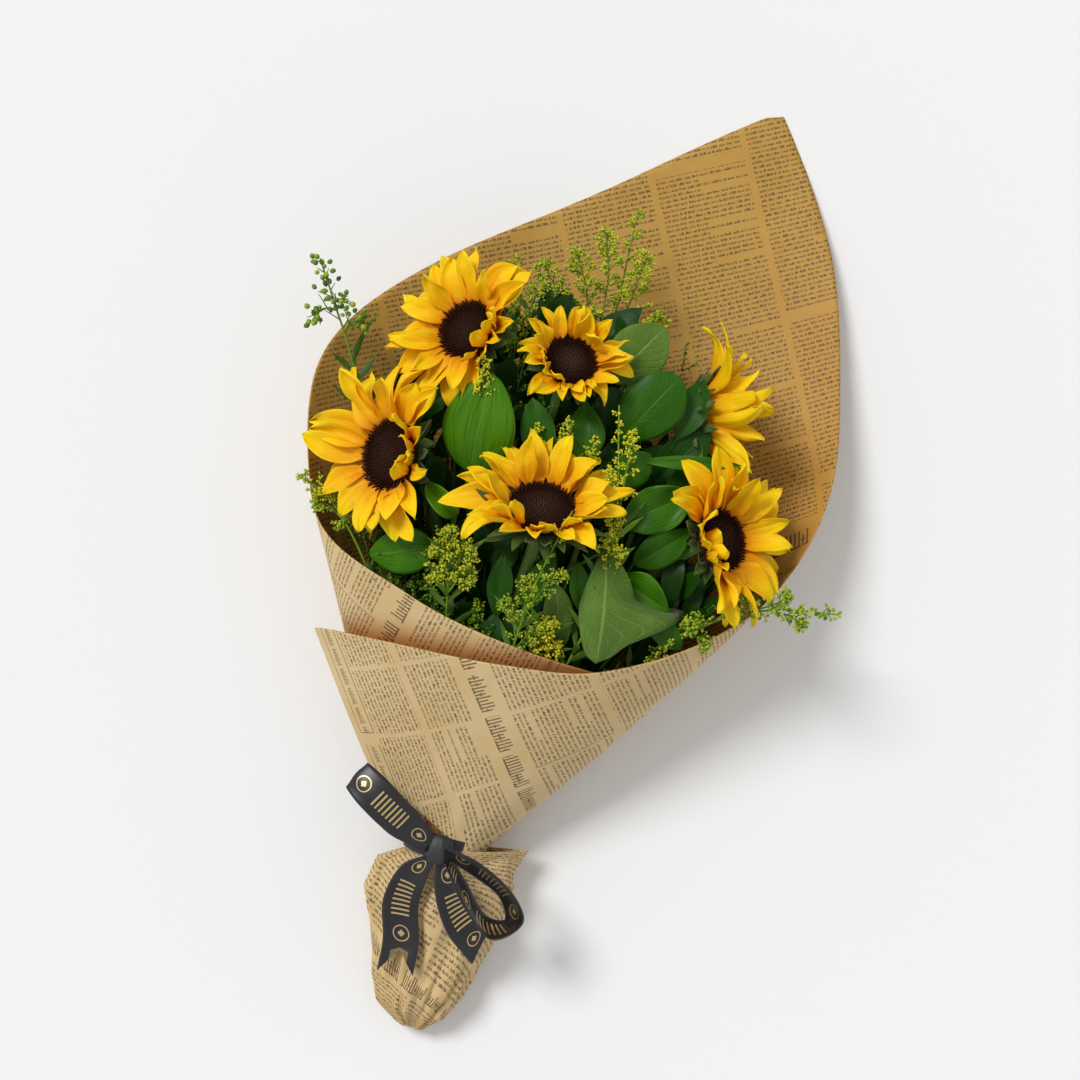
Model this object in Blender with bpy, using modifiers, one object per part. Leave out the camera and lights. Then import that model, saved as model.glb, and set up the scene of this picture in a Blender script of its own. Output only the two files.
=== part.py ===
# A florist's bunch of six sunflowers, lying on its back: heads, stems, filler leaves and
# goldenrod in a cone of printed kraft paper, tied at the waist with a satin ribbon.
# Metres. +Y runs from the cut ends to the flower end, +Z is up, and the origin is at the
# middle of the bounding box, on the surface that the bunch lies on.

import math

import bmesh
import bpy
from mathutils import Vector

GAP = 0.0003                 # left between pieces that touch
PAPER = 0.0008               # thickness of the wrapping paper
LEAF = 0.0009                # thickness of a leaf blade
SATIN = 0.0008               # thickness of the ribbon
RIBBON_WIDTH = 0.025

# The tie, where the stems, the paper and the ribbon come together
TIE = Vector((0.0, -0.217, 0.030))
STEM_RADIUS = 0.0044         # a sunflower's stem
TWIG_RADIUS = 0.0019         # a twig of filler leaves
STALK_RADIUS = 0.0012        # a goldenrod's stalk
NECK_BEND = 0.16             # share of a stem's length that its neck takes to bend
LANE = 2 * STEM_RADIUS + 2 * GAP
TWINE_RADIUS = 0.0012
TWINE_RING = 0.0186          # middle of the twine, round the stems
WAIST_RADIUS = 0.0228        # outside of the paper's first turn at the tie
LAP_STEP = 0.0016            # what one turn of paper adds to that radius

# The cone of paper: its tip, and its half widths and half height for each metre from the tip
CONE_TIP = Vector((0.004, -0.288, 0.0))
CONE_START = TIE.y + 0.001 - CONE_TIP.y
CONE_SIDE = 0.546
CONE_SKEW = 0.037            # the left side spreads more than the right
CONE_HEIGHT = 0.285
CONE_STRAIGHT = 0.008        # stays as narrow as the tie under the ribbon
CONE_BLEND = 0.045           # length over which the waist opens into the cone
BACK_SINK = 0.03             # share of the half height by which the back is pressed flat

# The sheet's cut edge: degrees round the cone from its back, metres from the tip along +Y
LEFT_EDGE = ((-235, 0.222), (-180, 0.222), (-142, 0.233), (-90, 0.272), (-63, 0.362),
             (-32, 0.456), (-8, 0.542), (11, 0.638))
RIGHT_EDGE = ((11, 0.638), (24, 0.564), (45, 0.450), (74, 0.351), (103, 0.286),
              (148, 0.225), (182, 0.208), (218, 0.199), (262, 0.189))
LAP_HOLLOW = 0.055           # how far the inner lap drops below the flap, a metre from the tie
FLAP_FLARE = 0.155           # how far the flap's free corner stands out, a metre from the tie
WRAP_COLUMNS = 60
WRAP_ROWS = 10

# The paper's foot: y, middle x, half width, middle z, half height, from the tie to its end
FOOT = ((TIE.y - 0.001, 0.000, 0.0244, 0.030, 0.0244), (-0.2268, 0.000, 0.0244, 0.030, 0.0244),
        (-0.240, 0.009, 0.050, 0.0250, 0.0245), (-0.262, 0.008, 0.051, 0.0235, 0.0230),
        (-0.290, 0.013, 0.043, 0.0215, 0.0210), (-0.318, 0.014, 0.034, 0.0200, 0.0195),
        (-0.338, 0.015, 0.025, 0.0150, 0.0145), (-0.350, 0.018, 0.012, 0.0090, 0.0085))
BUNDLE_END = Vector((0.012, -0.310, 0.0205))

# name: head centre, lean from upright and its heading (degrees), disc radius,
# petal length, petal rise (degrees), lane at the tie (turns of a sixth, from the right)
FLOWERS = {
    "sunflower_1": ((-0.088, 0.123, 0.112), 30, 168, 0.0200, 0.023, 24, 3.5),
    "sunflower_2": ((-0.017, 0.124, 0.118), 25, 79, 0.0175, 0.016, 32, None),
    "sunflower_3": ((-0.112, 0.029, 0.108), 42, 188, 0.0240, 0.026, 20, 2.5),
    "sunflower_4": ((-0.005, 0.026, 0.138), 42, 100, 0.0220, 0.024, 30, 1.5),
    "sunflower_5": ((0.114, 0.043, 0.112), 45, 33, 0.0210, 0.025, 24, 0.5),
    "sunflower_6": ((0.076, 0.118, 0.066), 92, 10, 0.0200, 0.032, 52, 5.5),
}
PETAL_LOBES = 10
PETAL_SHEET = 0.0007
BRACT_LOBES = 7

# name: lane heading at the tie (degrees), lane radius, then the points it runs through
TWIGS = {
    "twig_left": (120, 0.0131, ((-0.020, -0.150, 0.056), (-0.050, -0.070, 0.078),
                                (-0.066, -0.010, 0.083))),
    "twig_middle": (60, 0.0131, ((0.010, -0.165, 0.051), (0.020, -0.070, 0.080),
                                 (0.026, 0.010, 0.094), (0.024, 0.060, 0.092))),
    "twig_right": (0, 0.0136, ((0.030, -0.150, 0.048), (0.050, -0.070, 0.072),
                               (0.058, 0.000, 0.084), (0.056, 0.075, 0.080))),
}

# name: carrier, share of the way along it, base of the blade, tip, width, sag, facing, glossy
LEAVES = {
    "leaf_upright": ("twig_left", 0.95, (-0.058, 0.034, 0.104), (-0.063, 0.100, 0.130),
                     0.048, 0.006, (-0.1, -0.3, 1), True),
    "leaf_low_left": ("twig_left", 0.80, (-0.066, -0.020, 0.098), (-0.103, -0.036, 0.090),
                      0.026, 0.005, (0, -0.2, 1), True),
    "leaf_curled": ("twig_left", 0.90, (-0.058, 0.004, 0.104), (-0.083, 0.018, 0.107),
                    0.014, 0.006, (0, 0, 1), True),
    "leaf_pointed": ("twig_middle", 0.97, (0.012, 0.066, 0.104), (0.000, 0.104, 0.098),
                     0.026, 0.003, (0, 0, 1), True),
    "leaf_centre": ("twig_middle", 0.86, (0.036, 0.058, 0.106), (0.052, 0.083, 0.110),
                    0.024, 0.004, (0.2, 0, 1), True),
    "leaf_round": ("twig_right", 0.98, (0.036, 0.092, 0.098), (0.052, 0.134, 0.108),
                   0.038, 0.004, (0, 0, 1), True),
    "leaf_behind": ("twig_right", 0.80, (0.030, 0.086, 0.078), (0.012, 0.118, 0.084),
                    0.028, 0.003, (0, 0, 1), True),
    "leaf_wavy": ("twig_right", 0.70, (0.052, 0.036, 0.108), (0.082, 0.062, 0.108),
                  0.028, 0.004, (0, -0.2, 1), True),
    "leaf_side": ("twig_right", 0.58, (0.068, 0.014, 0.098), (0.090, 0.040, 0.100),
                  0.018, 0.004, (0.2, -0.2, 1), True),
    "leaf_low_right": ("twig_right", 0.44, (0.060, -0.004, 0.108), (0.094, -0.008, 0.104),
                       0.026, 0.004, (0, -0.2, 1), True),
    "sunflower_2_leaf": ("sunflower_2_stem", 0.80, (0.012, 0.122, 0.086),
                         (0.032, 0.162, 0.082), 0.034, 0.004, (0, 0, 1), False),
    "sunflower_4_leaf": ("sunflower_4_stem", 0.62, (0.034, -0.020, 0.126),
                         (0.058, -0.064, 0.124), 0.042, 0.010, (0.1, 0, 1), False),
    "sunflower_5_leaf": ("sunflower_4_stem", 0.50, (0.018, -0.024, 0.108),
                         (0.034, -0.056, 0.096), 0.018, 0.004, (0.1, 0, 1), False),
}

# name: lane heading, lane radius, plume radius, share of its length that is plume, points
SPRIGS = {
    "goldenrod_outer_left": (180, 0.0118, 0.0045, 0.25,
                             ((-0.050, -0.130, 0.048), (-0.112, -0.020, 0.068),
                              (-0.152, 0.070, 0.070), (-0.186, 0.120, 0.066),
                              (-0.203, 0.143, 0.062))),
    "goldenrod_left_edge": (150, 0.0153, 0.0050, 0.25,
                            ((-0.046, -0.140, 0.053), (-0.100, -0.055, 0.082),
                             (-0.140, -0.008, 0.088), (-0.172, 0.003, 0.086))),
    "goldenrod_top": (270, 0.0059, 0.0050, 0.28,
                      ((-0.004, -0.130, 0.016), (0.000, 0.000, 0.020),
                       (0.004, 0.130, 0.034), (-0.006, 0.246, 0.046))),
    "goldenrod_top_left": (240, 0.0118, 0.0050, 0.25,
                           ((-0.014, -0.130, 0.018), (-0.042, 0.000, 0.034),
                            (-0.050, 0.110, 0.058), (-0.058, 0.190, 0.066))),
    "goldenrod_inner": (46.4, 0.0143, 0.0040, 0.30,
                        ((0.020, -0.160, 0.056), (0.036, -0.100, 0.084),
                         (0.048, -0.030, 0.116), (0.044, 0.030, 0.128),
                         (0.022, 0.106, 0.124))),
    "goldenrod_front_left": (106.4, 0.0143, 0.0100, 0.18,
                             ((-0.012, -0.165, 0.055), (-0.032, -0.100, 0.084),
                              (-0.048, -0.045, 0.108), (-0.056, -0.010, 0.118))),
    "goldenrod_front": (90, 0.0160, 0.0040, 0.26,
                        ((0.000, -0.190, 0.0489), (0.001, -0.160, 0.0590),
                         (0.004, -0.110, 0.086), (0.008, -0.060, 0.114),
                         (0.016, -0.020, 0.138), (0.034, 0.022, 0.158))),
    "goldenrod_rim": (73.6, 0.0150, 0.0080, 0.18,
                      ((0.003, -0.190, 0.0484), (0.006, -0.160, 0.0590),
                       (0.014, -0.110, 0.080), (0.020, -0.076, 0.095),
                       (0.026, -0.040, 0.119))),
    "goldenrod_right": (30, 0.0161, 0.0055, 0.28,
                        ((0.030, -0.160, 0.051), (0.078, -0.075, 0.084),
                         (0.122, -0.014, 0.106), (0.162, 0.010, 0.114),
                         (0.203, 0.020, 0.112))),
    "goldenrod_deep": (133.6, 0.0143, 0.0075, 0.28,
                       ((-0.026, -0.160, 0.048), (-0.058, -0.100, 0.068),
                        (-0.086, -0.050, 0.082))),
}

KNOT = Vector((0.0, TIE.y, TIE.z + WAIST_RADIUS + LAP_STEP + 0.0068))
KNOT_SIZE = (0.017, 0.019, 0.0095)

COLOURS = {
    "petal": ((0.93, 0.46, 0.01), 0.55), "disc": ((0.045, 0.018, 0.01), 0.9),
    "bract": ((0.16, 0.26, 0.07), 0.75), "stem": ((0.14, 0.28, 0.05), 0.6),
    "glossy_leaf": ((0.04, 0.16, 0.015), 0.35), "dull_leaf": ((0.15, 0.27, 0.07), 0.7),
    "goldenrod": ((0.42, 0.48, 0.03), 0.8), "kraft": ((0.56, 0.40, 0.20), 0.8),
    "satin": ((0.012, 0.011, 0.015), 0.35), "twine": ((0.45, 0.33, 0.17), 0.9),
}


def clear_scene():
    for thing in list(bpy.data.objects):
        bpy.data.objects.remove(thing, do_unlink=True)


def make_materials():
    made = {}
    for name, (colour, roughness) in COLOURS.items():
        material = bpy.data.materials.new(name)
        material.use_nodes = True
        shader = material.node_tree.nodes["Principled BSDF"]
        shader.inputs["Base Color"].default_value = (*colour, 1)
        shader.inputs["Roughness"].default_value = roughness
        shader.inputs["Metallic"].default_value = 0
        made[name] = material
    return made


clear_scene()
MATERIALS = make_materials()
BUNCH = bpy.data.collections.new("sunflower_bunch")
bpy.context.scene.collection.children.link(BUNCH)


def smooth(t):
    t = min(max(t, 0.0), 1.0)
    return t * t * (3 - 2 * t)


def mix(a, b, t):
    return a + (b - a) * t


def through(points, t):
    """A point at t, from 0 to 1, on a smooth curve through the given vectors."""
    points = [Vector(p) for p in points]
    place = min(max(t, 0.0), 1.0) * (len(points) - 1)
    i = min(int(place), len(points) - 2)
    f = place - i
    a, b = points[i], points[i + 1]
    before = points[i - 1] if i > 0 else a * 2 - b
    after = points[i + 2] if i + 2 < len(points) else b * 2 - a
    return ((a * 2) + (b - before) * f + (before * 2 - a * 5 + b * 4 - after) * f * f
            + (a * 3 - before - b * 3 + after) * f * f * f) / 2


def edge_at(edge, angle):
    """The height that a cut edge has at an angle: a smooth curve through its points."""
    for i in range(len(edge) - 1):
        (a0, h0), (a1, h1) = edge[i], edge[i + 1]
        if angle <= a1 or i == len(edge) - 2:
            break
    before = edge[i - 1] if i > 0 else (2 * a0 - a1, 2 * h0 - h1)
    after = edge[i + 2] if i + 2 < len(edge) else (2 * a1 - a0, 2 * h1 - h0)
    span = a1 - a0
    slope0 = (h1 - before[1]) / (a1 - before[0]) * span
    slope1 = (after[1] - h0) / (after[0] - a0) * span
    f = (angle - a0) / span
    return ((2 * f ** 3 - 3 * f * f + 1) * h0 + (f ** 3 - 2 * f * f + f) * slope0
            + (3 * f * f - 2 * f ** 3) * h1 + (f ** 3 - f * f) * slope1)


def add_object(name, mesh, material):
    thing = bpy.data.objects.new(name, mesh)
    mesh.materials.append(MATERIALS[material])
    BUNCH.objects.link(thing)
    return thing


def mapped_grid(name, columns, rows, place, material, closed=False):
    """A grid whose points are set by place(u, v), both from 0 to 1. Closed joins its sides."""
    mesh = bpy.data.meshes.new(name)
    bm = bmesh.new()
    bmesh.ops.create_grid(bm, x_segments=columns, y_segments=rows, size=0.5)
    for vertex in bm.verts:
        vertex.co = place(vertex.co.x + 0.5, vertex.co.y + 0.5)
    if closed:
        bmesh.ops.remove_doubles(bm, verts=bm.verts, dist=0.00001)
    bmesh.ops.recalc_face_normals(bm, faces=bm.faces)
    bm.to_mesh(mesh)
    bm.free()
    mesh.shade_smooth()
    return add_object(name, mesh, material)


def thicken(thing, thickness, offset):
    solid = thing.modifiers.new("thickness", "SOLIDIFY")
    solid.thickness = thickness
    solid.offset = offset
    solid.use_even_offset = False
    return thing


def tube(name, points, radius, material, radii=None, sides=2):
    """A round stalk along points; radii holds each point's share of the radius."""
    curve = bpy.data.curves.new(name, "CURVE")
    curve.dimensions = "3D"
    curve.bevel_depth = radius
    curve.bevel_resolution = sides
    curve.use_fill_caps = True
    spline = curve.splines.new("POLY")
    spline.points.add(len(points) - 1)
    for i, point in enumerate(points):
        spline.points[i].co = (*point, 1)
        spline.points[i].radius = radii[i] if radii else 1
    curve.materials.append(MATERIALS[material])
    thing = bpy.data.objects.new(name, curve)
    BUNCH.objects.link(thing)
    return thing


def turned(name, profile, steps, material, place=None, turn=None):
    """A profile of (radius, height) pairs, top to bottom, turned round its own Z."""
    mesh = bpy.data.meshes.new(name)
    mesh.from_pydata([(r, 0, z) for r, z in profile],
                     [(i, i + 1) for i in range(len(profile) - 1)], [])
    thing = add_object(name, mesh, material)
    screw = thing.modifiers.new("turn", "SCREW")
    screw.steps = steps
    screw.render_steps = steps
    screw.use_merge_vertices = True
    screw.merge_threshold = 0.00001
    thing.location = place or (0, 0, 0)
    if turn:
        thing.rotation_mode = "QUATERNION"
        thing.rotation_quaternion = turn
    return thing


# ---------------------------------------------------------------- the paper

def cone_section(y, angle):
    """The cone's half width, half height and middle height, y metres from its tip."""
    opened = smooth((y - CONE_START - CONE_STRAIGHT) / CONE_BLEND)
    side = mix(WAIST_RADIUS, y * (CONE_SIDE - CONE_SKEW * math.sin(angle)), opened)
    height = mix(WAIST_RADIUS, y * CONE_HEIGHT, opened)
    middle = mix(TIE.z, y * CONE_HEIGHT * (1 - BACK_SINK), opened)
    return side, height, middle, opened


def wrap_point(degrees, row):
    """A point on the outside of the rolled sheet; its rows run from the waist to its edge."""
    edge = LEFT_EDGE if degrees < LEFT_EDGE[-1][0] else RIGHT_EDGE
    straight = CONE_START + CONE_STRAIGHT
    y = CONE_START
    if row > 0:
        y = mix(straight, edge_at(edge, degrees), ((row - 1) / (WRAP_ROWS - 1)) ** 1.25)
    along = max(y - straight, 0)
    angle = math.radians(degrees)
    side, height, middle, opened = cone_section(y, angle)
    inner = smooth((-90 - degrees) / 60)
    outer = smooth((degrees - 90) / 60)
    out = outer * LAP_STEP - inner * (LAP_STEP + LAP_HOLLOW * along)
    flare = FLAP_FLARE * along * smooth((degrees - 195) / 90)
    x = mix(TIE.x, CONE_TIP.x, opened) + (side + out + flare) * math.sin(angle)
    z = middle - (height + out) * math.cos(angle)
    return Vector((x, CONE_TIP.y + y, max(z, 0.0)))


def make_wrap():
    start, corner, end = LEFT_EDGE[0][0], LEFT_EDGE[-1][0], RIGHT_EDGE[-1][0]
    left_columns = round(WRAP_COLUMNS * (corner - start) / (end - start))

    def place(u, v):
        column = round(u * WRAP_COLUMNS)
        if column <= left_columns:
            degrees = mix(start, corner, column / left_columns)
        else:
            degrees = mix(corner, end, (column - left_columns) / (WRAP_COLUMNS - left_columns))
        return wrap_point(degrees, round(v * WRAP_ROWS))

    wrap = mapped_grid("paper_wrap", WRAP_COLUMNS, WRAP_ROWS, place, "kraft")
    return thicken(wrap, PAPER, -1)


def foot_point(u, v):
    """The foot is round at the tie and ends in a flat fold."""
    y, x, side, z, height = through_rows(FOOT, v)
    angle = 2 * math.pi * u
    return Vector((x + side * math.sin(angle), y, max(z - height * math.cos(angle), 0.0)))


def through_rows(rows, t):
    """Smooth values between the rows of a table."""
    place = min(max(t, 0.0), 1.0) * (len(rows) - 1)
    i = min(int(place), len(rows) - 2)
    return [mix(a, b, place - i) for a, b in zip(rows[i], rows[i + 1])]


def make_foot():
    rows = len(FOOT) - 1
    foot = mapped_grid("paper_foot", 24, rows, foot_point, "kraft", closed=True)
    bm = bmesh.new()
    bm.from_mesh(foot.data)
    end = [e for e in bm.edges if e.is_boundary and e.verts[0].co.y < FOOT[-1][0] + 0.001]
    bmesh.ops.contextual_create(bm, geom=end)
    bmesh.ops.recalc_face_normals(bm, faces=bm.faces)
    if sum(f.normal.dot(f.calc_center_median() - Vector((0.01, -0.28, 0.02)))
           for f in bm.faces) < 0:
        bmesh.ops.reverse_faces(bm, faces=bm.faces)
    bm.to_mesh(foot.data)
    bm.free()
    return thicken(foot, PAPER, -1)


# ---------------------------------------------------------------- stems and stalks

def lane_point(heading, radius, y=TIE.y):
    """Where a stalk passes the tie, or a place below it, in its own lane of the bundle."""
    t = (TIE.y - y) / (TIE.y - BUNDLE_END.y)
    middle = TIE.lerp(BUNDLE_END, t)
    turn = math.radians(heading)
    return Vector((middle.x + radius * math.cos(turn), y, middle.z + radius * math.sin(turn)))


def lean_vector(lean, heading):
    lean, heading = math.radians(lean), math.radians(heading)
    return Vector((math.sin(lean) * math.cos(heading), math.sin(lean) * math.sin(heading),
                   math.cos(lean)))


def stem_path(name):
    """From the cut end, through the tie, up to the back of the head."""
    centre, lean, heading, disc, _, _, lane = FLOWERS[name]
    facing = lean_vector(lean, heading)
    neck = Vector(centre) - facing * (head_depth(disc) + 2 * GAP)
    radius = 0.0 if lane is None else LANE
    turn = 0.0 if lane is None else lane * 60
    end = lane_point(turn, radius, BUNDLE_END.y - 0.0015 * (turn / 60))
    tie = lane_point(turn, radius)
    reach = (neck - tie).length
    one = tie + (tie - end).normalized() * reach * 0.36
    two = neck - facing * reach * NECK_BEND
    points = [end, end.lerp(tie, 0.6)]
    steps = 9
    for i in range(steps + 1):
        t = i / steps
        s = 1 - t
        points.append(tie * s ** 3 + one * 3 * s * s * t + two * 3 * s * t * t + neck * t ** 3)
    points.insert(-1, neck - facing * 0.005)
    return points


def head_depth(disc):
    return 0.30 * disc + 0.006


def stalk_points(heading, radius, route, end_y, steps):
    """A stalk's points: straight through the tie, then smoothly along its route."""
    tie = lane_point(heading, radius)
    below = lane_point(heading, radius, end_y)
    ahead = tie + (tie - below) * 0.15
    bend = [ahead] + [Vector(p) for p in route]
    return [below, tie] + [through(bend, i / steps) for i in range(steps + 1)]


def make_stems():
    for name in FLOWERS:
        tube(name + "_stem", stem_path(name), STEM_RADIUS, "stem")


def twig_path(name):
    heading, radius, route = TWIGS[name]
    return stalk_points(heading, radius, route, -0.304, 7)


def make_twigs():
    for name in TWIGS:
        tube(name, twig_path(name), TWIG_RADIUS, "stem")


def make_sprigs():
    steps = 10
    for i, (name, (heading, lane, plume, share, route)) in enumerate(SPRIGS.items()):
        points = stalk_points(heading, lane, route, -0.292 - 0.0015 * i, steps)
        radii = [1, 1]
        for step in range(steps + 1):
            t = (step / steps - (1 - share)) / share
            swell = math.sin(math.pi * min(max(t, 0), 1) ** 0.7) ** 0.8 if t > 0 else 0
            radii.append(mix(1, plume / STALK_RADIUS, swell))
        tube(name, points, STALK_RADIUS, "goldenrod", radii)


def make_twine():
    ring = []
    for i in range(7):
        turn = 2 * math.pi * i / 6
        ring.append((TWINE_RING + TWINE_RADIUS * math.cos(turn), -TWINE_RADIUS * 2.2
                     * math.sin(turn)))
    along = Vector((0, 1, 0)).to_track_quat("Z", "Y")
    turned("stem_twine", ring, 20, "twine", TIE, along)


# ---------------------------------------------------------------- flower heads

def make_head(name):
    centre, lean, heading, disc, length, rise, _ = FLOWERS[name]
    facing = lean_vector(lean, heading)
    turn = facing.to_track_quat("Z", "Y")
    depth = head_depth(disc)
    dome = 0.16 * disc
    profile = [(0, dome), (disc * 0.6, dome * 0.8), (disc * 0.92, dome * 0.35), (disc, 0),
               (disc * 0.97, -0.0025), (disc * 0.55, -depth * 0.62),
               (STEM_RADIUS + 0.0008, -depth), (0, -depth)]
    turned(name + "_disc", profile, 16, "disc", centre, turn)

    def petal(u, v):
        lobe = abs(math.cos(math.pi * PETAL_LOBES * u))
        reach = v * length * mix(0.42, 1.0, lobe ** 0.8)
        angle = 2 * math.pi * u
        r = disc + 0.0005 + reach * math.cos(math.radians(rise))
        z = -0.0008 + reach * math.sin(math.radians(rise)) * (0.7 + 0.3 * v)
        return Vector((r * math.cos(angle), r * math.sin(angle), z))

    petals = mapped_grid(name + "_petals", PETAL_LOBES * 4, 2, petal, "petal", closed=True)
    thicken(petals, PETAL_SHEET, 0)

    def bract(u, v):
        lobe = abs(math.cos(math.pi * BRACT_LOBES * u))
        reach = v * disc * 0.55 * mix(0.5, 1.0, lobe)
        angle = 2 * math.pi * u
        r = disc * 0.90 + reach
        z = -0.0048 + reach * math.sin(math.radians(rise)) * 0.35
        return Vector((r * math.cos(angle), r * math.sin(angle), z))

    bracts = mapped_grid(name + "_bracts", BRACT_LOBES * 4, 1, bract, "bract", closed=True)
    thicken(bracts, PETAL_SHEET, 0)
    for piece in (petals, bracts):
        piece.location = centre
        piece.rotation_mode = "QUATERNION"
        piece.rotation_quaternion = turn


# ---------------------------------------------------------------- leaves

def carrier_points(name):
    if name in TWIGS:
        return twig_path(name)
    return stem_path(name.removesuffix("_stem"))


def carrier_at(name, share):
    """A point on a stem or twig, share of the way from the tie to its tip, and its run there."""
    points = carrier_points(name)[2:]
    place = share * (len(points) - 1)
    i = min(int(place), len(points) - 2)
    return points[i].lerp(points[i + 1], place - i), (points[i + 1] - points[i]).normalized()


def make_leaf(name):
    carrier, share, base, tip, width, sag, facing, glossy = LEAVES[name]
    base, tip, facing = Vector(base), Vector(tip), Vector(facing).normalized()
    root, run = carrier_at(carrier, share)
    radius = TWIG_RADIUS if carrier in TWIGS else STEM_RADIUS
    away = base - root
    away = (away - run * away.dot(run)).normalized()
    start = root + away * (radius + LEAF / 2 + 1.5 * GAP)
    stalk_rows, blade_rows = 2, 5
    rows = stalk_rows + blade_rows
    middle = (base + tip) / 2 + facing * sag
    stalk_width = 0.0022

    def spine(t):
        s = 1 - t
        return base * s * s + (middle * 2 - (base + tip) / 2) * 2 * s * t + tip * t * t

    def place(u, v):
        row = round(v * rows)
        if row <= stalk_rows:
            f = row / stalk_rows
            point, half = start.lerp(base, f), stalk_width / 2
            along = base - start
        else:
            t = (row - stalk_rows) / blade_rows
            point = spine(t)
            half = max(width / 2 * math.sin(math.pi * t ** 0.75) ** 0.7, stalk_width / 3)
            along = spine(min(t + 0.02, 1)) - spine(max(t - 0.02, 0))
        across = along.cross(facing).normalized()
        up = across.cross(along).normalized()
        offset = (u - 0.5) * 2
        return point + across * half * offset + up * half * 0.18 * abs(offset)

    leaf = mapped_grid(name, 2, rows, place, "glossy_leaf" if glossy else "dull_leaf")
    thicken(leaf, LEAF, 0)


# ---------------------------------------------------------------- the ribbon

def strip(name, route, widths, steps):
    """A flat ribbon along a route; widths holds the vectors across it, one for each point."""
    def place(u, v):
        point = through(route, v)
        across = through(widths, v)
        return point + across * (u - 0.5)

    ribbon = mapped_grid(name, 1, steps, place, "satin")
    return thicken(ribbon, SATIN, 0)


def make_ribbon():
    inner = WAIST_RADIUS + LAP_STEP + GAP
    half = 0.0085
    band = [(inner, half), (inner + SATIN, half), (inner + SATIN, -half), (inner, -half),
            (inner, half)]
    turned("ribbon_band", band, 32, "satin", TIE, Vector((0, 1, 0)).to_track_quat("Z", "Y"))

    mesh = bpy.data.meshes.new("ribbon_knot")
    bm = bmesh.new()
    bmesh.ops.create_cube(bm, size=1)
    bmesh.ops.scale(bm, verts=bm.verts, vec=KNOT_SIZE)
    bm.to_mesh(mesh)
    bm.free()
    knot = add_object("ribbon_knot", mesh, "satin")
    knot.location = KNOT
    bevel = knot.modifiers.new("round", "BEVEL")
    bevel.width = 0.003
    bevel.segments = 2

    side = KNOT_SIZE[0] / 2 + GAP + 0.0002
    w = RIBBON_WIDTH
    k = KNOT
    left = k + Vector((-side, 0.002, 0))
    strip("ribbon_loop_left",
          (left + Vector((0, 0, 0.0022)), k + Vector((-0.030, 0.012, 0.010)),
           k + Vector((-0.055, 0.024, 0.011)), k + Vector((-0.070, 0.032, 0.004)),
           k + Vector((-0.054, 0.023, -0.002)), k + Vector((-0.030, 0.010, 0.001)),
           left + Vector((0, -0.001, -0.0012))),
          (Vector((0.000, 0.010, 0)), Vector((0.009, 0.021, 0)), Vector((0.011, 0.022, 0)),
           Vector((0.010, 0.020, 0)), Vector((0.011, 0.022, 0)), Vector((0.011, 0.021, 0)),
           Vector((0.000, 0.010, 0))), 14)
    right = k + Vector((side, -0.002, 0))
    strip("ribbon_loop_right",
          (right + Vector((0, 0.002, 0.002)), k + Vector((0.030, -0.004, 0.006)),
           k + Vector((0.056, -0.014, 0.004)), k + Vector((0.066, -0.028, 0.000)),
           k + Vector((0.050, -0.036, 0.000)), k + Vector((0.028, -0.020, 0.001)),
           right + Vector((0, -0.001, -0.0015))),
          (Vector((0, 0.006, 0.006)), Vector((0, 0.006, 0.012)), Vector((0.003, 0.003, 0.014)),
           Vector((0.008, 0.002, 0.014)), Vector((0.006, -0.008, 0.012)),
           Vector((0.001, -0.006, 0.010)), Vector((0, -0.004, 0.006))), 14)
    front = k + Vector((0, -KNOT_SIZE[1] / 2 - GAP - 0.0002, 0))
    strip("ribbon_tail_left",
          (front + Vector((-0.004, 0, -0.001)), k + Vector((-0.012, -0.022, -0.006)),
           k + Vector((-0.014, -0.045, -0.011)), k + Vector((-0.006, -0.070, -0.0135)),
           k + Vector((-0.003, -0.093, -0.0145))),
          (Vector((0.007, 0, 0)), Vector((0.020, -0.004, 0.001)), Vector((w, 0.002, 0)),
           Vector((w, 0.004, 0)), Vector((w, 0.004, 0))), 8)
    strip("ribbon_tail_right",
          (front + Vector((0.0045, 0, -0.001)), k + Vector((0.016, -0.024, -0.006)),
           k + Vector((0.030, -0.044, -0.0105)), k + Vector((0.052, -0.060, -0.0155))),
          (Vector((0.006, 0.001, 0)), Vector((0.015, 0.013, 0)), Vector((0.014, 0.020, 0)),
           Vector((0.012, 0.022, 0))), 7)


make_wrap()
make_foot()
make_stems()
make_twigs()
make_sprigs()
make_twine()
for flower in FLOWERS:
    make_head(flower)
for leaf_name in LEAVES:
    make_leaf(leaf_name)
make_ribbon()
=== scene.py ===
# A florist's bunch of six sunflowers in a cone of printed kraft paper with a satin ribbon
import math
import random
import re

import bpy
import numpy as np
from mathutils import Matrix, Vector, noise


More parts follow.
